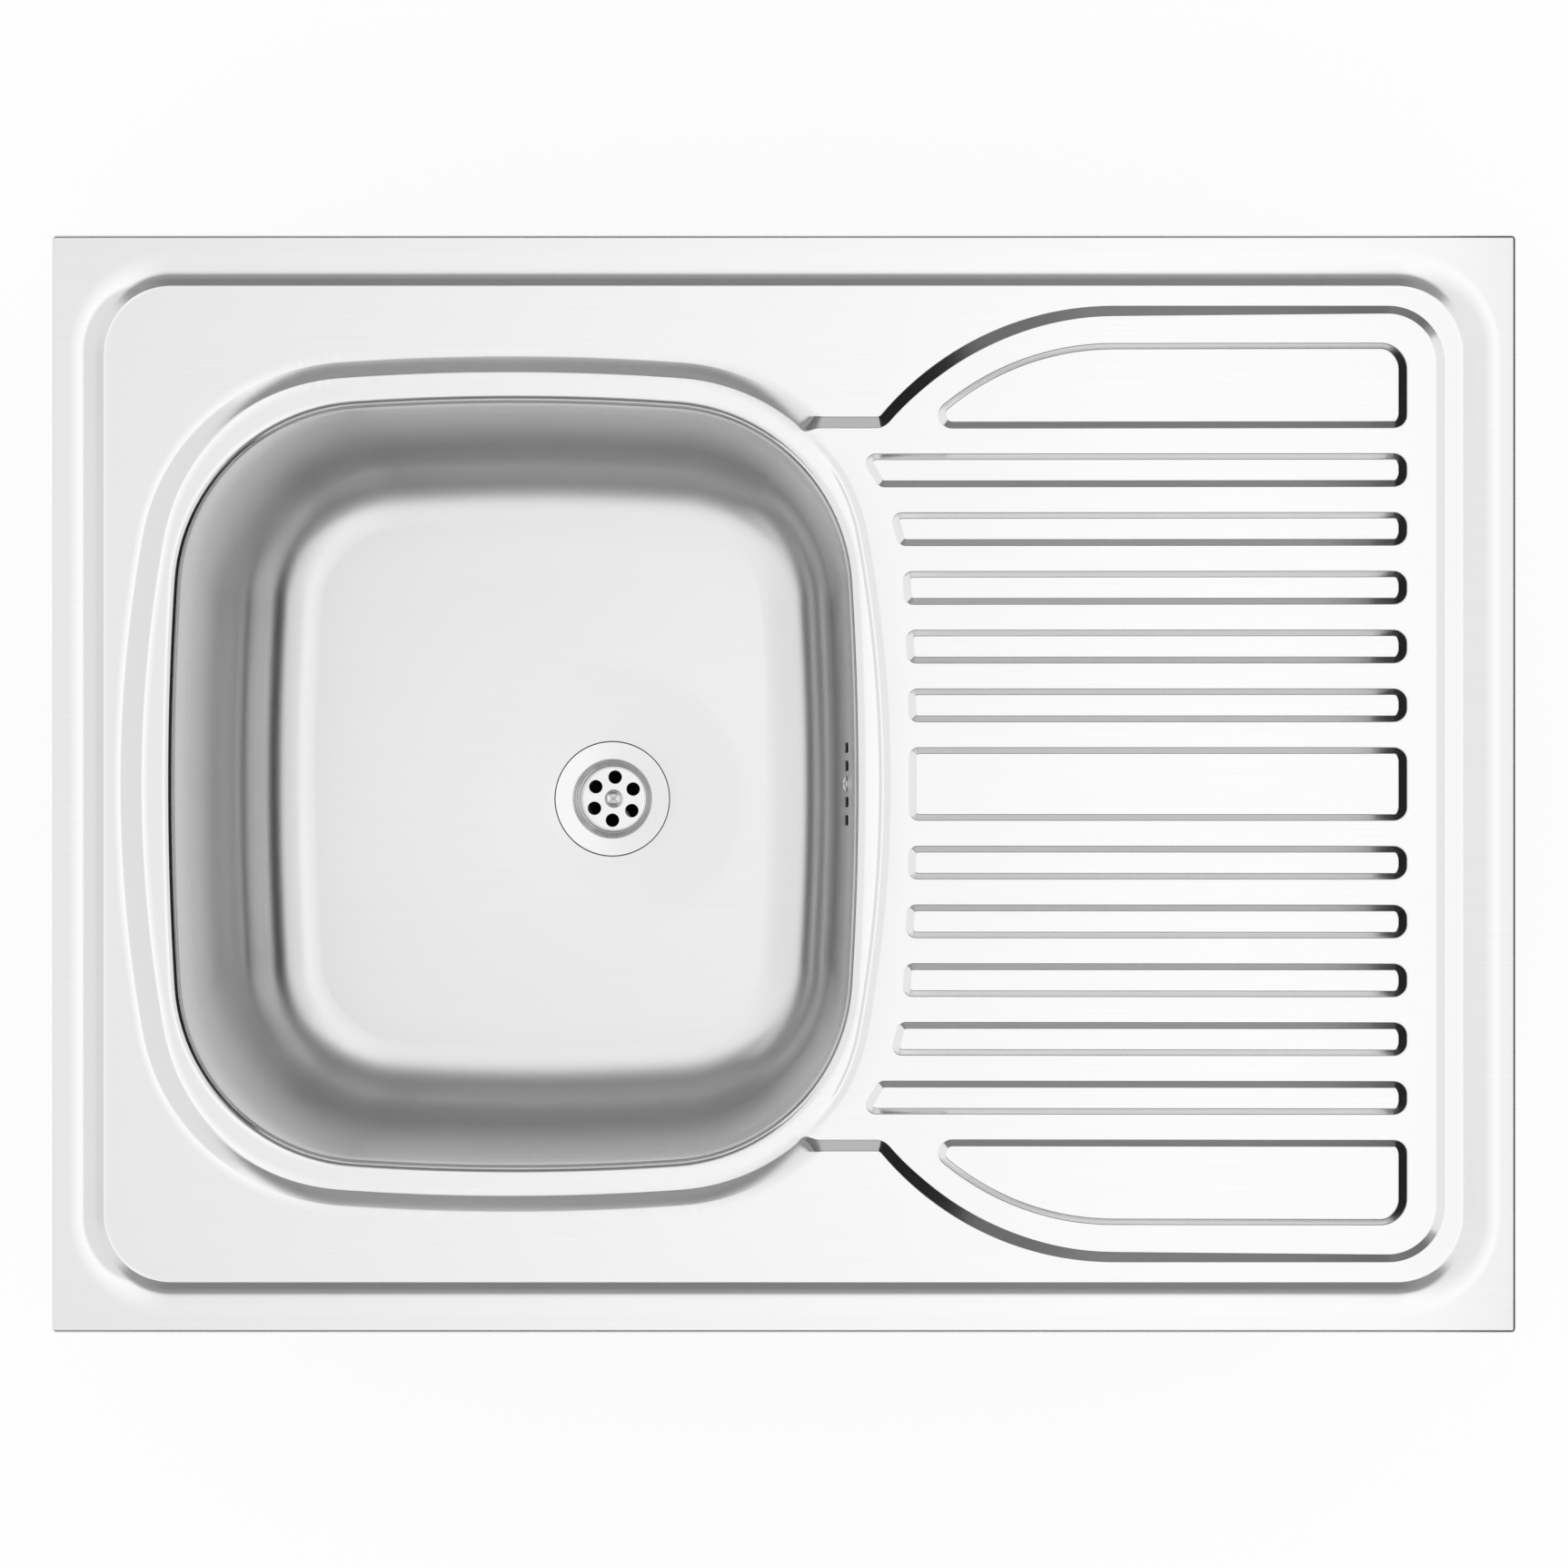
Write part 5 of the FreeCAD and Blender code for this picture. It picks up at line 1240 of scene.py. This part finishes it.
def stage_plane(name, corners, material):
    mesh = bpy.data.meshes.new(name)
    mesh.from_pydata(corners, [], [(0, 1, 2, 3)])
    mesh.materials.append(material)
    made = bpy.data.objects.new(name, mesh)
    bpy.context.scene.collection.objects.link(made)
    return made


def matt(name, tone):
    return Finish(name, Roughness=0.9, Specular_IOR_Level=0.1, Base_Color=(tone, tone, tone, 1))


def card(name, corners, tone):
    """A studio card that only the steel's reflections show; it takes no light from anything."""
    made = stage_plane(name, corners, matt(name, tone).material)
    made.visible_camera = made.visible_diffuse = made.visible_shadow = made.visible_transmission = False


def upright_card(name, azimuth, distance, low, high, half_width, tone):
    """It faces the sink from an azimuth, between two heights above the rim's plane."""
    a = math.radians(azimuth)
    middle = distance * np.array([math.cos(a), math.sin(a)])
    side = half_width * np.array([-math.sin(a), math.cos(a)])
    one, other = middle + side, middle - side
    card(name, [(*one, low), (*other, low), (*other, high), (*one, high)], tone)


def level_card(name, x0, x1, y0, y1, z, tone):
    card(name, [(x0, y0, z), (x1, y0, z), (x1, y1, z), (x0, y1, z)], tone)


def sky():
    """White to the eye. To everything else it is brightest over the drainboard, least at the far end."""
    world = bpy.data.worlds.new("studio")
    world.use_nodes = True
    bpy.context.scene.world = world
    tree, background = world.node_tree, world.node_tree.nodes["Background"]
    way = add_node(tree, "SeparateXYZ", i0=add_node(tree, "TexCoord").outputs["Generated"])
    aside = add_math(tree, "DIVIDE", way.outputs["X"], add_math(tree, "MAXIMUM", way.outputs["Z"], 0.05))
    rise = add_node(tree, "MapRange", Value=aside, From_Min=SKY_RISE[0], From_Max=SKY_RISE[1],
                    To_Min=SKY_BOWL_END, To_Max=SKY).outputs[0]
    fall = add_node(tree, "MapRange", {"interpolation_type": "SMOOTHSTEP"}, Value=aside, From_Min=SKY_FALL[0],
                    From_Max=SKY_FALL[1], To_Min=0.0, To_Max=SKY - SKY_FAR_END).outputs[0]
    seen = add_node(tree, "LightPath").outputs
    direct = add_math(tree, "MAXIMUM", seen["Is Camera Ray"], seen["Is Transmission Ray"])
    strength = add_node(tree, "MapRange", Value=direct, From_Min=0.0, From_Max=1.0,
                        To_Min=add_math(tree, "SUBTRACT", rise, fall), To_Max=1.0).outputs[0]
    tree.links.new(strength, background.inputs["Strength"])
    background.inputs["Color"].default_value = (1, 1, 1, 1)


def cards():
    """Dark cards, like the edges of a large soft light, and low ones that the ribs' flanks reflect."""
    for side, name in ((1, "back"), (-1, "front")):
        for kind, (near, far, tone) in CEILINGS.items():
            level_card(f"{kind}_{name}", -CARD_REACH, CARD_REACH, side * near, side * far, CARD_Z, tone)
        low, high, tone = WALL
        upright_card(f"wall_{name}", side * 90, CARD_REACH, low, high, CARD_REACH, tone)
        low, high, tone = LOW_WALL
        y = side * CARD_REACH
        card(f"low_wall_{name}", [(CARD_REACH, y, low), (LOW_WALL_END, y, low), (LOW_WALL_END, y, high),
                                  (CARD_REACH, y, high)], tone)
        azimuth, distance, high, half_width, tone = LOW_CARD
        upright_card(f"low_{name}", side * azimuth, distance, 0.0, high, half_width, tone)
    near, half_width, low, tone = RIGHT_CARD
    level_card("frame_right", near, CARD_REACH, -half_width, half_width, CARD_Z, tone)
    upright_card("wall_right", 0, CARD_REACH, low, CARD_Z, CARD_REACH, tone)


def floor():
    """White where it is seen, with the object's shadow; inside the outlet's circle it is painted near black,
    a painted shade for the outlet's bore, and it is see-through from below.
    """
    z = min(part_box("waste_body")[0].z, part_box("sink_pressing")[0].z) - FLOOR_GAP * MM
    pale = matt("pale_floor", FLOOR_TONE)
    seen = pale.node("LightPath").outputs
    direct = pale.math("MAXIMUM", pale.math("MAXIMUM", seen["Is Camera Ray"], seen["Is Glossy Ray"]),
                       seen["Is Transmission Ray"])
    off_axis = pale.node("VectorMath", {"operation": "DISTANCE"}, i0=pale.place(), i1=(*(WASTE * MM), z))
    # inside the outlet's circle the floor gets the painted shade of the bore: near black, without the white
    # glow
    outside = pale.math("GREATER_THAN", off_axis.outputs["Value"], (OUTLET_R - 1) * MM)
    share = pale.math("MULTIPLY", pale.math("MULTIPLY", direct, FLOOR_GLOW), outside)
    pale.to("Base Color", pale.spread(outside, [BORE_SHADE_TONE] * 3, [FLOOR_TONE] * 3))
    white = pale.node("Emission", Strength=1.0).outputs[0]
    above = pale.node("MixShader", i0=share, i1=pale.shader.outputs[0], i2=white).outputs[0]
    both = pale.node("MixShader", i0=pale.node("NewGeometry").outputs["Backfacing"], i1=above,
                     i2=pale.node("BsdfTransparent").outputs[0]).outputs[0]
    pale.tree.links.new(both, pale.tree.nodes["Material Output"].inputs["Surface"])
    reach = FLOOR_REACH
    stage_plane("floor", [(-reach, -reach, z), (reach, -reach, z), (reach, reach, z), (-reach, reach, z)],
                pale.material)


# ---------------------------------------------------------------- everything put together
camera()
sky()
cards()
floor()
bpy.context.scene.view_settings.view_transform = "Standard"
STEEL = brushed_steel("brushed_steel", 0.74, 0.15, 0.04, 0.6, deep_rough=0.3)
STEEL_BACK = brushed_steel("mill_steel", 0.6, 0.4, 0.05, 0.3)
SPUN = brushed_steel("spun_steel", 0.74, 0.2, 0.05, 0.6, (30.0, 3000.0))
BRIGHT = brushed_steel("polished_steel", 0.78, 0.14, 0.03, 0.0, (200.0, 1500.0), 0.02)
ZINC = zinc_steel()
BODY_PLASTIC = moulded_plastic("moulded_plastic", (0.8, 0.8, 0.77), (0.85, 0.85, 0.83), 0.42)
NUT_PLASTIC = moulded_plastic("nut_plastic", (0.78, 0.78, 0.76), (0.84, 0.84, 0.82), 0.36)
HOSE_PLASTIC = moulded_plastic("hose_plastic", (0.7, 0.7, 0.67), (0.77, 0.77, 0.75), 0.33, 90.0)
RUBBER, BRASS, BITUMEN = black_rubber(), turned_brass(), bitumen_sheet()

cross_way = math.radians(STRAINER_FIRST_ANGLE / 2)
at_plate = turned_frame((*WASTE, PLATE_Z + FACE_GAP), UP, (math.cos(cross_way), math.sin(cross_way), 0))
into_insert = PLATE_Z + FACE_GAP - (BODY_TOP - BOSS_TOP - INSERT_LENGTH)
strainer_screw = cross_screw(SCREW_R, into_insert, SCREW_HEAD_R, SCREW_HEAD, 1.0)
overflow_screw = cross_screw(OVERFLOW_SCREW_R, OVERFLOW_SCREW_LENGTH, OVERFLOW_HEAD_R, OVERFLOW_HEAD, 0.8)

# name, patches, body, materials, CAD nodes it stands for, sheet, way its skin faces
piece("sink_skin", sink_sheet(), "sink", [STEEL, STEEL_BACK], ["sink_pressing"], SHEET, UP)
piece("waste_strainer", waste_strainer(), "sink", [SPUN], ["waste_flange"], FLANGE_SHEET, UP)
piece("waste_gasket", waste_gasket(), "sink", [RUBBER], ["waste_top_seal"])
piece("strainer_bolt", placed(strainer_screw, at_plate), "strainer_screw", [BRIGHT],
      ["strainer_screw"])
piece("overflow_bolt", placed(overflow_screw, IN_BOWL), "overflow_screw", [BRIGHT],
      ["overflow_screw"])
piece("waste_cup", waste_body(), "sink", [BODY_PLASTIC], ["waste_body"])
piece("overflow_box", overflow_housing(), "sink", [BODY_PLASTIC], ["overflow_housing"])
piece("ribbed_hose", overflow_hose(), "sink", [HOSE_PLASTIC], ["overflow_hose"])
for place, union in (("upper", UPPER_UNION), ("lower", LOWER_UNION)):
    piece(f"cap_nut_{place}", placed([hose_nut()], union), f"hose_nut_{place}", [NUT_PLASTIC],
          [f"hose_nut_{place}"])
for place, x in (("near", BOWL_RIGHT_X + CHANNEL_FROM_BOWL), ("far", BASIN_X - CHANNEL_FROM_FAR)):
    piece(f"channel_{place}", stiffening_channel(x), "sink", [ZINC],
          [f"stiffening_channel_{place}"], CHANNEL_SHEET, -UP)
for x_name, sx in (("left", -1), ("right", 1)):
    for y_name, sy in (("front", -1), ("back", 1)):
        node, y = f"fixing_bracket_{x_name}_{y_name}", sy * (HALF_WIDTH - BRACKET_PLACE)
        piece(f"bracket_{x_name}_{y_name}", fixing_bracket(sx, y), node, [ZINC], [node],
              BRACKET_SHEET, (-sx, 0, 0))
piece("bitumen_pad", damping_pad(), "sink", [BITUMEN], ["damping_pad"])
SHOWN = {RUBBER: ["waste_under_seal", "overflow_seal", "hose_seal_upper", "hose_seal_lower"],
         BRASS: ["waste_insert", "overflow_insert"],
         ZINC: [f"corner_angle_{x}_{y}" for x in ("left", "right") for y in ("front", "back")]}
for finish, nodes in SHOWN.items():
    for node in nodes:
        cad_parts[node].data.materials.clear()
        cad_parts[node].data.materials.append(finish)
